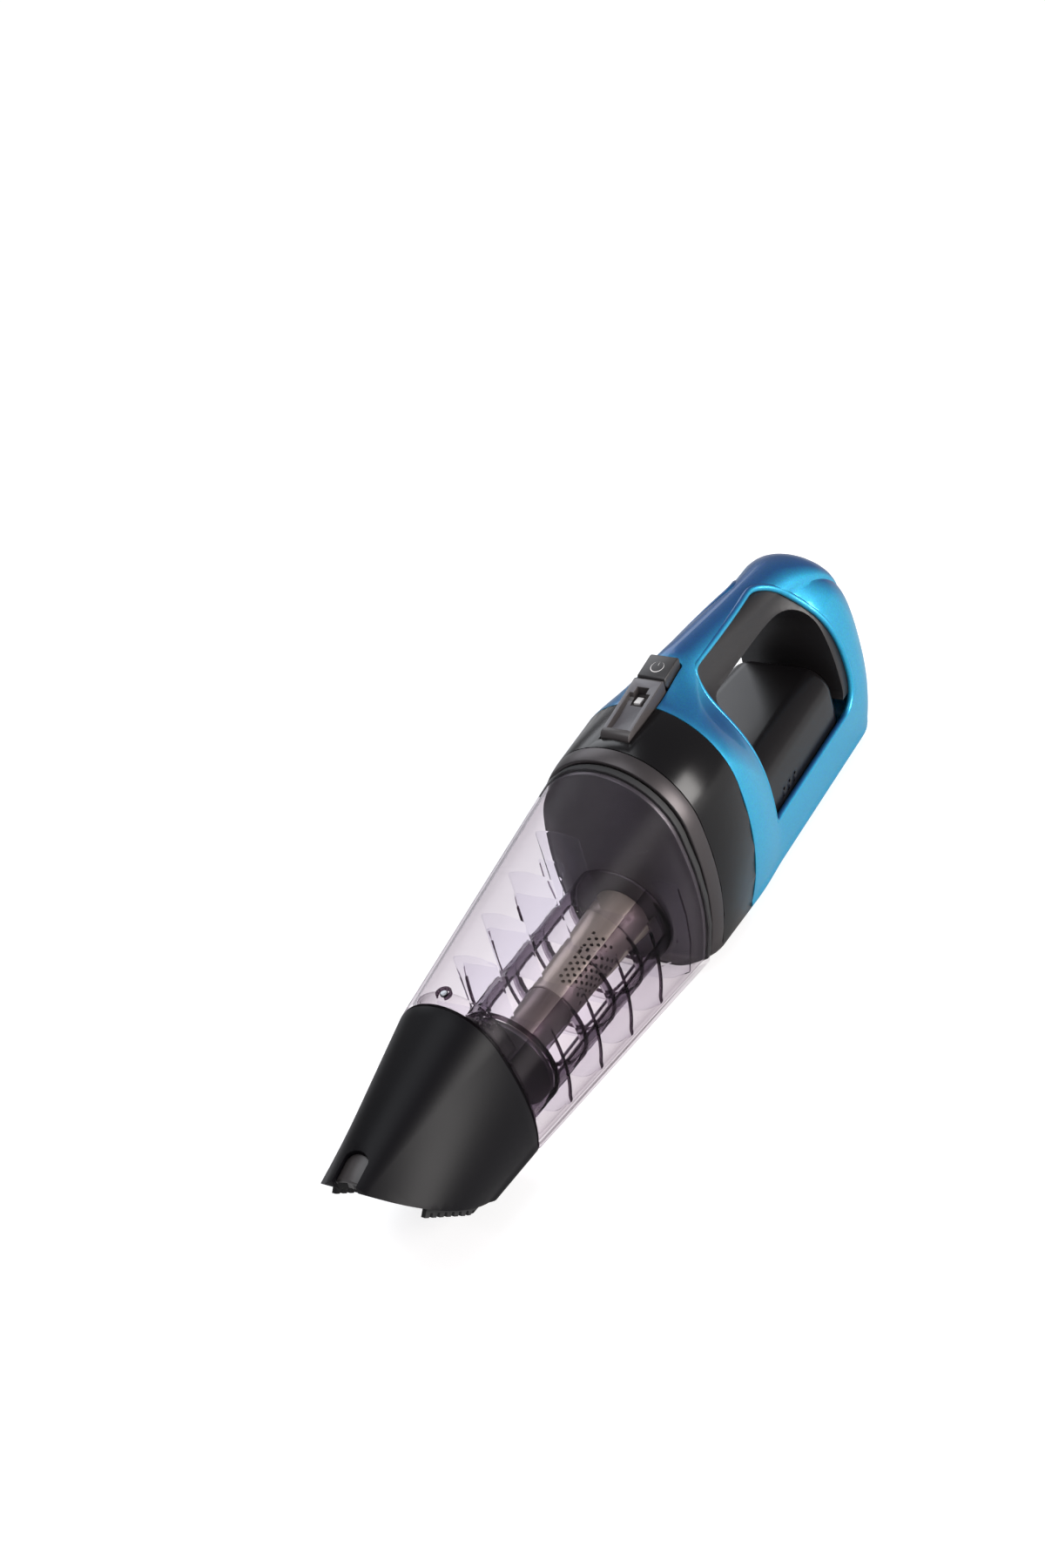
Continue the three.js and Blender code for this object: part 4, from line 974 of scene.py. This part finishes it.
# %% Seam and sleeve
SEAM_X = -84.5
seam = sleeve_of("tube_seam", SEAM_X, SEAM_X + 1.2, 0.35, 0.7)
soften(seam, width=0.2)
finish(seam, dark_steel, "filter", "steel")
sleeve = sleeve_of("tube_sleeve", LEVELS[0], SEAM_X - 0.2, 0.12, 0.32)
soften(sleeve, width=0.05)
finish(sleeve, dark_steel, "filter", "steel")

# %% [markdown]
# The dark cone closes the back of the bin. Its rim has the bin's own section and its small end is
# round. A cone primitive can't end in such a section, so it is a loft in which each point slides
# along a straight line from the section to its place on a circle.


# %% Cone
CONE_BACK = -4
CONE_SHOULDER = -6.5
CONE_STEP = 1.8
CONE_WALL = 2.0


def round_outline(radius):
    return [on_circle(radius, math.atan2(z - 45, y)) for y, z in body_outline(FLANGE_SECTION)]


def bin_ring(x, wall):
    return body_outline(inset(bin_section(x), BIN_WALL + 0.3 + wall))


def blended(first, second, t):
    return [(mix(a[0], b[0], t), mix(a[1], b[1], t)) for a, b in zip(first, second)]


def cone_stations(wall):
    seat = CAGE_RADIUS - CAGE_WALL - 0.3 - wall
    small, big = round_outline(CAGE_RADIUS + 0.6 - wall), bin_ring(CONE_SHOULDER, wall + CONE_STEP)
    rows = [(TUBE_HEAD + 0.3, round_outline(seat - 0.5)), (TUBE_HEAD + 0.8, round_outline(seat)),
            (CAGE_BACK + 0.3, round_outline(seat)), (CAGE_BACK + 0.4, small)]
    for k in range(1, 9):
        rows.append((mix(CAGE_BACK + 0.4, CONE_SHOULDER, k / 8), blended(small, big, k / 8)))
    rows += [(x, bin_ring(x, wall)) for x in (CONE_SHOULDER + 0.3, CONE_BACK)]
    return rows


cone = loft("cone", cone_stations(0))
cone_inner = cone_stations(CONE_WALL)
cone_inner[:2] = [(TUBE_HEAD + 1.2, round_outline(21)), (TUBE_HEAD + 1.3, round_outline(22))]
cone_inner.append((1, bin_ring(CONE_BACK, CONE_WALL)))
cut(cone, loft("cone_inner", cone_inner))
soften(cone, width=0.35, segments=3, angle=40)
finish(cone, cone_grey, "filter", "cone", "filter_cone")
refine("pleated_filter", "pleated_filter_piece", filter_paper, "filter", "paper", width=0.2)

# %% [markdown]
# Behind the bin come a satin band and the black motor housing. The band swells slightly towards
# the back, so it is a loft through three insets of one section, bored by a fourth. The housing has
# spigots, an intake wall and a well for the latch, all true in the frame, so it is a merged and
# softened copy of its node.

# %% Trim band and motor housing
BAND_FRONT, BAND_BACK = 0.3, 9


def band_loft(name, stations):
    return loft(name, [(x, body_outline(inset(BAND_SECTION, wall))) for x, wall in stations])


band = band_loft("band", [(BAND_FRONT, 1.4), (BAND_BACK / 2, 0.5), (BAND_BACK, 0)])
cut(band, band_loft("bore", [(-1, 3.6), (BAND_BACK + 1, 3.6)]))
soften(band, width=0.6, segments=3)
finish(band, band_silver, "body", "band", "trim_band")
refine("motor_housing", "housing", gloss_black, "body", "gloss_black", width=0.4)

# %% [markdown]
# The handle frame starts with the housing's arch and closes into a tall bell with a narrow grip
# on top. Two lofts joined by a boolean would leave a seam, so one loft runs through the whole
# handle: its outline is computed at each station and blended from the arch over the first stretch.
# The back rounds off in plan and in side view, with stations that close up towards the end.


# %% Section of the handle
HOUSING_END = 42
HOUSING_HALF, WINDOW_HALF, BACK_HALF = 44.5, 38.5, 31
WAIST = 50
CREST_FRONT, CREST_BACK = 133, 121.5
GRIP_HALF, GRIP_SWELL = 13, 6
GRIP_SIDE = 20
GRIP_TOP = ARC - GRIP_SIDE
WINDOW_FRONT, WINDOW_BACK, WINDOW_TOP, WINDOW_FLOOR = 73, 174, 124, 34.5
BACK_HEIGHT = 62
CASE_WALL = 2.4
PLAN_ROUND, TOP_ROUND, FLOOR_ROUND, GRIP_ROUND = 28, 44, 24, 18
FULL_START, SWELL_START, SWELL_LENGTH = 130, 140, 50


def ease_off(x, reach, least):
    """Falls from one towards a least value in a quarter circle over the last stretch."""
    start = BODY_END - reach
    t = clamp((x - start) / (BODY_END - start))
    return max(least, math.sqrt(max(0.0, 1 - t * t)))


def handle_values(x):
    along = (x - WINDOW_FRONT) / (WINDOW_BACK - WINDOW_FRONT)
    front = clamp((x - HOUSING_END) / (WINDOW_FRONT - HOUSING_END))
    plan = ease_off(x, PLAN_ROUND, 0.25)
    top = ease_off(x, TOP_ROUND, 0.2)
    floor = ease_off(x, FLOOR_ROUND, 0.2)
    wide = mix(HOUSING_HALF, WINDOW_HALF, front) if x < WINDOW_FRONT else mix(WINDOW_HALF, BACK_HALF, along)
    full = smoothstep((x - FULL_START) / (BODY_END - 146))
    grip = GRIP_HALF + GRIP_SWELL * smoothstep((x - SWELL_START) / SWELL_LENGTH)
    foot = HOUSING_SECTION["foot"] - (x - HOUSING_END) * 0.07
    return dict(wide=wide * plan, full=full, foot=max(6, foot * plan),
                corner=mix(BACK_HEIGHT, HOUSING_SECTION["corner"], floor), floor=mix(BACK_HEIGHT, 0, floor),
                grip=grip * ease_off(x, GRIP_ROUND, 0.35),
                top=mix(BACK_HEIGHT, mix(CREST_FRONT, CREST_BACK, clamp(along)), top),
                shoulder=mix(mix(48, 22, clamp(along)), 46, full))


print("handle is", round(handle_values(WINDOW_FRONT)["top"], 1), "mm high at the window's front")

# %% [markdown]
# From those values the outline is drawn: one curve from the widest place up to the grip, a quarter
# of an ellipse over the grip, and the same lower half as the body's. The other side is its mirror.
# A wall inwards makes every value smaller, so that the hollow follows the outside.


# %% Outline of the handle
def handle_outline(x, wall):
    h = handle_values(x)
    top, grip = h["top"] - wall, h["grip"] - wall
    grip_side = (grip, top - min(GRIP_HALF - wall, (top - WAIST) * 0.4))
    start = (h["wide"] - wall, min(WAIST, grip_side[1] - 6))
    rise = grip_side[1] - start[1]
    neck = (mix(grip + 0.5, start[0], 0.55 * h["full"]), grip_side[1] - rise * mix(0.3, 0.1, h["full"]))
    upright_end = (start[0], start[1] + min(h["shoulder"], rise * 0.66))
    upper = bezier([start, upright_end, neck, grip_side], GRIP_SIDE)
    for k in range(1, GRIP_TOP + 1):
        turn = k / GRIP_TOP * math.pi / 2
        upper.append((grip * math.cos(turn), grip_side[1] + (top - grip_side[1]) * math.sin(turn)))
    feet = dict(foot=h["foot"] - wall, corner=h["corner"] + wall, floor=h["floor"] + wall)
    pull = (start[0], (start[1] + feet["corner"] + CORNER_RADIUS) / 2)
    return whole(upper, lower_half(start, pull, feet))


print("points round the handle", len(handle_outline(WINDOW_FRONT, 0)))

# %% [markdown]
# The stations lie every four millimetres and close up where the back rounds off. The window's
# outline is a round-cornered shape whose rear top follows the back's slope. A margin makes it
# wider, for the pieces that surround it.


# %% Stations of the handle and outline of its window
def handle_station(x, wall):
    t = smoothstep((x - HOUSING_END) / (WINDOW_FRONT + 7 - HOUSING_END))
    arch = body_outline(inset(HOUSING_SECTION, wall))
    return (x, blended(arch, handle_outline(x, wall), t))


BACK_ROWS = [41, 37, 33, 29, 25, 22, 19, 16, 13.5, 11, 9, 7, 5.4, 4, 2.8, 1.8, 1, 0.4, 0]
HANDLE_ROWS = spread(HOUSING_END, BODY_END - 45, 4) + [BODY_END - rest for rest in BACK_ROWS]


def handle_loft(name, wall, x0=HOUSING_END, x1=BODY_END):
    rows = [x0] + [x for x in HANDLE_ROWS if x0 + 0.3 < x < x1 - 0.3] + [x1]
    return loft(name, [handle_station(x, wall) for x in rows])


def window_outline(margin=0.0):
    x0, x1 = WINDOW_FRONT - margin, WINDOW_BACK + margin
    z0, z1 = WINDOW_FLOOR - margin, WINDOW_TOP + margin
    points = bezier([(x1 - 15, z0), (x1, z0), (x1, z0 + 20)], 12)
    points += bezier([(x1, z0 + 20), (x1, z0 + 54), (x1 - 14, z1 - 1), (x1 - 36, z1 - 1)], 24)[1:]
    points += bezier([(x0 + 6, z1), (x0, z1), (x0, z1 - 6)], 8)
    points += bezier([(x0, z0 + 5), (x0, z0), (x0 + 5, z0)], 6)
    return points


print("handle stations", len(HANDLE_ROWS), "window points", len(window_outline()))

# %% [markdown]
# The latch and the button sit in a well that is open to the top. Handle and liner make room for it,
# each with its own clearance, so the well is a cutter made by a function: an upright prism with
# slightly rounded corners.

# %% Well for the controls
LATCH_FRONT, LATCH_BACK, BUTTON_BACK, LATCH_WIDTH = 16, 54, 70, 16
FRONT_CORNER, BACK_CORNER = 1.6, 2


def well(clearance):
    x0, x1 = LATCH_FRONT - clearance, BUTTON_BACK + clearance
    half = LATCH_WIDTH / 2 + clearance
    corners = [(x0, -half, FRONT_CORNER), (x1, -half, BACK_CORNER),
               (x1, half, BACK_CORNER), (x0, half, FRONT_CORNER)]
    return prism("well", rounded(corners), 110, 145, axis="Z")


print("well from", LATCH_FRONT, "to", BUTTON_BACK)

# %% [markdown]
# The handle is hollow, like the real halves that screw together. It is lofted whole, hollowed, cut
# for the window, the well and the socket, and then bisected down the middle, so that the two halves
# can't differ.

# %% Handle frame
SOCKET_HEIGHT = BACK_HEIGHT - 7
handle = handle_loft("handle", 0)
cut(handle, handle_loft("hollow", CASE_WALL, HOUSING_END - 1, BODY_END - 6),
    prism("window_cut", window_outline(1.2), -FAR, FAR), well(0.8),
    rod("socket_hole", 5.3, (BODY_END - 24, 0, SOCKET_HEIGHT), (BODY_END + 6, 0, SOCKET_HEIGHT)))
soften(handle, width=0.5, segments=3, angle=36)
handle_right = copy_of(handle, "handle_right")
handle.name = "handle_left"
for half, side, node in ((handle, -1, "frame_left"), (handle_right, 1, "frame_right")):
    edit(half)
    bpy.ops.mesh.bisect(plane_co=(0, side * 0.05 * MM, 0), plane_no=(0, side, 0),
                        use_fill=True, clear_inner=True)
    leave()
    soften(half, width=0)
    finish(half, blue_paint, "body", "blue", node)

# %% [markdown]
# The window has a rolled lip. A bevel on the cut edge breaks up where the side is steep, so a round
# bar is swept along the edge instead. Its path follows the line where the window's outline meets
# the curved side, worked out from the section at each point, and is smoothed so that the bar
# doesn't ripple.


# %% Path of the lip
def half_width(x, z):
    """How far out the handle's side lies at a place, read off its outline."""
    right = sorted((p for p in handle_station(x, 0)[1] if p[0] >= 0), key=lambda p: p[1])
    for a, b in zip(right, right[1:]):
        if a[1] <= z <= b[1] and b[1] > a[1]:
            return mix(a[0], b[0], (z - a[1]) / (b[1] - a[1]))
    return right[0][0]


LIP = 1.8
LIP_STEP = 1.5
dense = []
outline = window_outline(0.6)
for (ax, az), (bx, bz) in zip(outline, outline[1:] + outline[:1]):
    pieces = max(1, round(math.hypot(bx - ax, bz - az) / LIP_STEP))
    dense += [(mix(ax, bx, k / pieces), mix(az, bz, k / pieces)) for k in range(pieces)]
depths = [half_width(x, z) - LIP + 0.1 for x, z in dense]
for _ in range(6):
    depths = [(depths[k - 1] + depths[k] + depths[(k + 1) % len(depths)]) / 3 for k in range(len(depths))]
print("lip path", len(dense), "points")

# %% [markdown]
# The path becomes a closed curve with a round bevel, once for each side, and the curve is then made
# a mesh.

# %% Lip round the window
for side, label in ((-1, "left"), (1, "right")):
    deselect()
    bpy.ops.curve.primitive_nurbs_path_add()
    path = bpy.context.active_object
    path.data.splines.clear()
    spline = path.data.splines.new("POLY")
    spline.points.add(len(dense) - 1)
    spline.use_cyclic_u = True
    for point, (x, z), depth in zip(spline.points, dense, depths):
        point.co = (*place(x, side * depth, z), 1)
    path.data.dimensions = "3D"
    path.data.bevel_depth = LIP * MM
    path.data.bevel_resolution = 5
    pick(path)
    bpy.ops.object.convert(target="MESH")
    path.name = f"window_lip_{label}"
    bpy.ops.object.shade_smooth()
    finish(path, blue_paint, "body", "blue")

# %% [markdown]
# Inside the window lies a dark lining: a band under the grip, a curved wall at the back and a
# corner in front. Modelled on its own it would have to be fitted to the handle, so it is the inside
# of the handle itself, kept only as a ring round the window, and cleared by the finger tunnel and
# for the barrel.

# %% Grip liner
LINER_WIDTH = 5
TUNNEL_TOP = 105
BARREL_TOP = 67
tunnel_front, tunnel_back, tunnel_floor = WINDOW_FRONT + 3, WINDOW_BACK - 8, WINDOW_FLOOR + 3
tunnel = rounded([(tunnel_front, tunnel_floor, 0), (tunnel_back, tunnel_floor, 12),
                  (tunnel_back, TUNNEL_TOP, 21), (tunnel_front, TUNNEL_TOP, 9)], 10)
liner = handle_loft("liner", CASE_WALL + 0.3, WINDOW_FRONT - 6, BODY_END - 6.3)
cut(liner, prism("ring", window_outline(LINER_WIDTH), -FAR, FAR), operation="INTERSECT")
cut(liner, prism("tunnel", tunnel, -FAR, FAR),
    block("front_clear", WINDOW_FRONT - 10, -FAR, 0, tunnel_back - 4, FAR, BARREL_TOP + 0.4),
    block("rail_clear", WINDOW_FRONT - 10, -FAR, 0, tunnel_back + 12, FAR, WINDOW_FLOOR + 8), well(1.8))
soften(liner, width=0.5, segments=2, angle=36)
finish(liner, liner_grey, "body", "dark_plastic", "grip_liner")

# %% [markdown]
# The barrel holds the motor and the cells. It is a long box with round upper edges that follows
# the frame inwards to the back and ends in a full rounding. A bevelled box would keep its width, so
# it is a loft whose outline is read off the handle. Pairs of small vents are drilled low on its
# sides.


# %% Barrel
BARREL_START, BARREL_ROUND, BARREL_END = 48, 153, 160
BARREL_CORNER = 13


def barrel_outline(x):
    late = clamp((x - BARREL_ROUND) / (BARREL_END - BARREL_ROUND))
    shrink = 6 * (1 - math.sqrt(1 - late * late))
    h = handle_values(x)
    wide = h["wide"] - CASE_WALL - 1.3 - shrink
    foot = h["foot"] - CASE_WALL - 3 - shrink
    top, floor = BARREL_TOP - shrink, 6 + shrink
    upper = [(wide, 44)]
    for k in range(17):
        turn = k / 16 * math.pi / 2
        across, down = 1 - math.cos(turn), 1 - math.sin(turn)
        upper.append((wide - BARREL_CORNER * across, top - BARREL_CORNER * down))
    upper.append((0, top))
    lower = [(wide - 1, 34), (mix(wide, foot, 0.5), 20), (foot, floor + 4), (foot - 5, floor)]
    return whole(upper, lower)


end_rows = [BARREL_END - rest for rest in (7, 6, 5, 4, 3, 2.2, 1.5, 0.9, 0.5, 0.2, 0)]
barrel = loft("barrel", [(x, barrel_outline(x)) for x in spread(BARREL_START, BARREL_ROUND, 6) + end_rows])
vents = []
for side in (-1, 1):
    for k in range(3):
        for z, shift in ((37.5, 0), (41.5, 1.6)):
            x = 90 + k * 6.5 + shift
            vents.append(rod("vent", 0.8, (x, side * 24, z), (x, side * FAR, z), 12))
cut(barrel, merged(vents, "vents"))
soften(barrel, width=0.2, segments=2, angle=50, smooth=40)
finish(barrel, barrel_black, "body", "gloss_black", "barrel_cover")

# %% [markdown]
# Two controls sit in the well, one behind the other, under one sloping top line: a latch and the
# power button. Both start as side outlines pushed through to width, which gives their flat sides
# and round front in one step. This helper makes such a block from its two ends.


# %% Block for a control
CONTROL_LOW, CONTROL_HIGH = 124.2, 132.8
ABOVE = 140
HALF_GAP = 0.3


def control_top(x):
    return mix(CONTROL_LOW, CONTROL_HIGH, (x - LATCH_FRONT) / (BUTTON_BACK - LATCH_FRONT))


def control_block(name, x0, x1, depth, crown, front=4.0):
    low, high = control_top(x0), control_top(x1)
    outline = [(x0 + 1.5, low - depth), (x1 - 0.5, high - depth), (x1, high - 1)]
    outline += bezier([(x1, high - 1 + crown), (x1, high + crown), (x1 - 1.5, high + crown)], 6)
    outline += bezier([(x0 + front, low + crown + 0.4), (x0, low + crown), (x0, low - 2.5)], 8)
    return prism(name, outline, -LATCH_WIDTH / 2, LATCH_WIDTH / 2)


print("controls rise from", CONTROL_LOW, "to", CONTROL_HIGH)

# %% [markdown]
# The latch has a scooped front for the thumb, in a lighter grey, and a small window with a pale
# indicator. The scoop is cut with a prism whose floor is a curve, and its faces are picked by place
# and normal to take their own material.

# %% Latch
SCOOP_START, SCOOP_END, SCOOP_HALF = LATCH_FRONT + 4.5, LATCH_FRONT + 27, 5.8
PIVOT_X, PIVOT_Z, PIVOT_HALF, PIVOT_RADIUS = 49, 116.5, 6, 3.2
latch = control_block("latch", LATCH_FRONT, LATCH_BACK - HALF_GAP, 7, 1.6)
scoop_floor = bezier([(SCOOP_START, CONTROL_LOW + 0.5), (LATCH_FRONT + 10, CONTROL_LOW - 2.2),
                      (SCOOP_END, control_top(SCOOP_END) - 0.6)], 16)
scoop_outline = [(SCOOP_START, ABOVE)] + scoop_floor + [(SCOOP_END + 3, ABOVE)]
scoop = prism("scoop", scoop_outline, -SCOOP_HALF, SCOOP_HALF)
cut(latch, scoop, block("indicator_well", 38.5, -3.4, control_top(40) - 2, 47.5, 3.4, ABOVE))
soften(latch, width=0.7, segments=3, angle=40)
finish(latch, control_grey, "latch", "control", "bin_latch")
latch.data.materials.append(scoop_grey)
for polygon in latch.data.polygons:
    spot = (polygon.center - place(LATCH_FRONT, 0, 0)) / MM
    polygon.material_index = int(5 < spot.x < 24 and abs(spot.y) < 5.4 and polygon.normal.z > 0.6)

# %% [markdown]
# Below the latch a lug turns on the latch pin, and a web carries the lug. They are joined without a
# boolean, since the seam is hidden in the well. The indicator is a small pale block in its recess.

# %% Lug and indicator of the latch
lug_rod = rod("latch_lug", PIVOT_RADIUS, (PIVOT_X, -PIVOT_HALF, PIVOT_Z), (PIVOT_X, PIVOT_HALF, PIVOT_Z))
web = block("latch_web", PIVOT_X - PIVOT_RADIUS, -PIVOT_HALF, PIVOT_Z,
            PIVOT_X + PIVOT_RADIUS, PIVOT_HALF, control_top(PIVOT_X) - 3)
finish(soften(merged([lug_rod, web], "latch_lug"), width=0.0), control_grey, "latch", "control")
indicator = block("latch_indicator", 39.4, -1.8, control_top(40) - 2, 44, 1.8, control_top(40) - 0.4)
soften(indicator, width=0.3)
finish(indicator, symbol_pale, "latch", "control")

# %% [markdown]
# The power button is a shorter block of the same kind, with a stem below that stands on its
# spring. The stem stays a piece of its own, since it needs rounding by less than the block does.

# %% Button
BUTTON_X = (LATCH_BACK + BUTTON_BACK) / 2
button_top = control_top(BUTTON_X)
button = control_block("button", LATCH_BACK + HALF_GAP, BUTTON_BACK, 5, 1.2, front=1.5)
stem = rod("stem", 2.4, (BUTTON_X, 0, button_top - 9.6), (BUTTON_X, 0, button_top - 4), 24)
soften(button, width=0.7, segments=3, angle=40)
finish(button, button_dark, "button", "control", "power_button")
finish(soften(stem, width=0.2), button_dark, "button", "control")

# %% [markdown]
# The power symbol is generic: an open ring with a short bar. A painted mark would need an image, so
# it is raised: a torus with a gap cut out and its ends filled, joined with a thin cylinder, then
# flattened and laid on the button's sloping top.

# %% Power symbol
RING_RADIUS, STROKE = 3.4, 0.42
slope = math.atan2(CONTROL_HIGH - CONTROL_LOW, BUTTON_BACK - LATCH_FRONT)
deselect()
bpy.ops.mesh.primitive_torus_add(major_segments=48, minor_segments=8, major_radius=RING_RADIUS * MM,
                                 minor_radius=STROKE * MM)
symbol = bpy.context.active_object
edit(symbol, "DESELECT")
leave()
for polygon in symbol.data.polygons:
    turn = math.degrees(math.atan2(polygon.center.y, polygon.center.x))
    polygon.select = abs(turn) < 26
bpy.ops.object.mode_set(mode="EDIT")
bpy.ops.mesh.delete(type="FACE")
bpy.ops.mesh.select_all(action="SELECT")
bpy.ops.mesh.fill_holes(sides=0)
leave()
deselect()
bpy.ops.mesh.primitive_cylinder_add(vertices=12, radius=STROKE * MM, depth=RING_RADIUS * MM,
                                    rotation=(0, math.pi / 2, 0), location=(2.6 * MM, 0, 0))
bar = bpy.context.active_object
bpy.ops.object.transform_apply(location=True, rotation=True, scale=True)
symbol = merged([symbol, bar], "power_symbol")
lie = Matrix.Translation(place(BUTTON_X, 0, button_top + 1.25)) @ Matrix.Rotation(-slope, 4, "Y")
symbol.data.transform(lie @ Matrix.Diagonal((1, 1, 0.4, 1)))
soften(symbol, width=0, smooth=40)
finish(symbol, symbol_pale, "button", "control")

# %% [markdown]
# What lies inside hardly shows, but it is there: flap, motor, fan, cells, board, deck, springs, pin
# and socket. Remaking them would gain nothing, so they keep their frame form and place and only get
# their own finishes.

# %% Inner parts
INNER = {
    "inlet_flap": soft_rubber, "motor_plate": inner_dark, "motor_can": can_metal, "impeller": inner_dark,
    "button_spring": can_metal, "latch_spring": can_metal, "latch_pin": can_metal,
    "control_deck": inner_dark, "switch_board": board_green, "charge_socket": inner_dark,
}
for number in range(1, 5):
    INNER[f"battery_cell_{number}"] = cell_sleeve
for node, material in INNER.items():
    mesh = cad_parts[node].data
    mesh.materials.clear()
    mesh.materials.append(material)
print("inner parts", len(INNER))

# %% [markdown]
# The studio is a pale floor under a pale sky. A floor lit until it clips would bleach the vacuum
# too, so it is a plain grey that still takes the shadow, and it glows a little only for rays that
# come straight from the camera or through the clear parts.

# %% Floor
FLOOR_GREY, FLOOR_GLOW = 0.62, 0.6
deselect()
bpy.ops.mesh.primitive_plane_add(size=12, location=(0, 0, 0))
floor = bpy.context.active_object
floor.name = "studio_floor"
floor_material = bpy.data.materials.new("studio_floor")
floor_material.use_nodes = True
tree = floor_material.node_tree
tree.nodes.clear()
out = tree.nodes.new("ShaderNodeOutputMaterial")
matt = tree.nodes.new("ShaderNodeBsdfDiffuse")
matt.inputs["Color"].default_value = (FLOOR_GREY, FLOOR_GREY, FLOOR_GREY, 1)
glow = tree.nodes.new("ShaderNodeEmission")
glow.inputs["Color"].default_value = (1, 1, 1, 1)
path = tree.nodes.new("ShaderNodeLightPath").outputs
seen = math_node(tree, "MAXIMUM", path["Is Camera Ray"], path["Is Transmission Ray"])
tree.links.new(math_node(tree, "MULTIPLY", seen, FLOOR_GLOW), glow.inputs["Strength"])
both = tree.nodes.new("ShaderNodeAddShader")
tree.links.new(matt.outputs[0], both.inputs[0])
tree.links.new(glow.outputs[0], both.inputs[1])
tree.links.new(both.outputs[0], out.inputs["Surface"])
floor.data.materials.append(floor_material)
print("floor", floor.name)

# %% [markdown]
# A broad warm softbox on the left-hand side makes the long highlights on the nozzle, the cone and
# the housing, a cooler one from above lights the blue, and a weak fill behind opens the shadows. An
# even sky at a low level keeps the blacks from going dead.

# %% Sky and lamps
world = bpy.data.worlds.new("studio")
bpy.context.scene.world = world
world.use_nodes = True
world.node_tree.nodes["Background"].inputs["Color"].default_value = (0.96, 0.95, 1.0, 1)
world.node_tree.nodes["Background"].inputs["Strength"].default_value = 0.3


def softbox(name, at, aim, width, height, power, colour):
    data = bpy.data.lights.new(name, "AREA")
    data.shape = "RECTANGLE"
    data.size, data.size_y = width, height
    data.energy = power
    data.color = colour
    lamp = bpy.data.objects.new(name, data)
    bpy.context.collection.objects.link(lamp)
    lamp.location = at
    lamp.rotation_euler = (Vector(aim) - Vector(at)).to_track_quat("-Z", "Y").to_euler()


middle = (cad_low + cad_high) / 2
softbox("side_softbox", (middle.x + 0.1, -1.3, 0.45), middle, 1.1, 0.7, 30, (1.0, 0.97, 0.95))
softbox("top_softbox", (middle.x - 0.2, 0.2, 1.7), middle, 1.2, 1.2, 13, (0.93, 0.96, 1.0))
softbox("back_fill", (middle.x + 0.9, 1.1, 0.9), middle, 1.0, 1.0, 8, (0.92, 0.95, 1.0))
print("lamps", len(bpy.data.lights))

# %% [markdown]
# The camera looks down on the left-hand front side, rolled so that the vacuum points to the lower
# left, from far enough away for a calm perspective. It could be placed by hand, but its three turns
# and the shift off the centre say more to a reader, so its matrix is built from them.

# %% Camera
AZIMUTH, ELEVATION, ROLL = math.radians(-47.42), math.radians(34.38), math.radians(-17.71)
DISTANCE, SIDE_SHIFT, UP_SHIFT = 1.5, 0.04598, -0.02251
back = Vector((math.sin(AZIMUTH) * math.cos(ELEVATION), -math.cos(AZIMUTH) * math.cos(ELEVATION),
               math.sin(ELEVATION)))
right = Vector((math.cos(AZIMUTH), math.sin(AZIMUTH), 0))
up = back.cross(right)
rolled_right = right * math.cos(ROLL) + up * math.sin(ROLL)
rolled_up = up * math.cos(ROLL) - right * math.sin(ROLL)
camera_data = bpy.data.cameras.new("camera")
camera_data.lens = 108
camera_data.sensor_width = 36
camera_data.sensor_fit = "HORIZONTAL"
camera = bpy.data.objects.new("camera", camera_data)
bpy.context.collection.objects.link(camera)
spot = place(0, 0, 80) + back * DISTANCE - rolled_right * SIDE_SHIFT - rolled_up * UP_SHIFT
turn = Matrix((rolled_right, rolled_up, back)).transposed().to_4x4()
camera.matrix_world = Matrix.Translation(spot) @ turn
bpy.context.scene.camera = camera
bpy.context.scene.view_settings.view_transform = "Standard"
print("camera at", tuple(round(v, 3) for v in spot))

# %% [markdown]
# A sight line crosses many clear walls: the bin twice, the plates and the cage. Each crossing is a
# bounce, so the limits are raised until no wall turns black.

# %% Bounces
WALLS_CROSSED = 24
cycles = bpy.context.scene.cycles
cycles.transmission_bounces = cycles.transparent_max_bounces = cycles.max_bounces = WALLS_CROSSED
print("bounces", cycles.max_bounces)
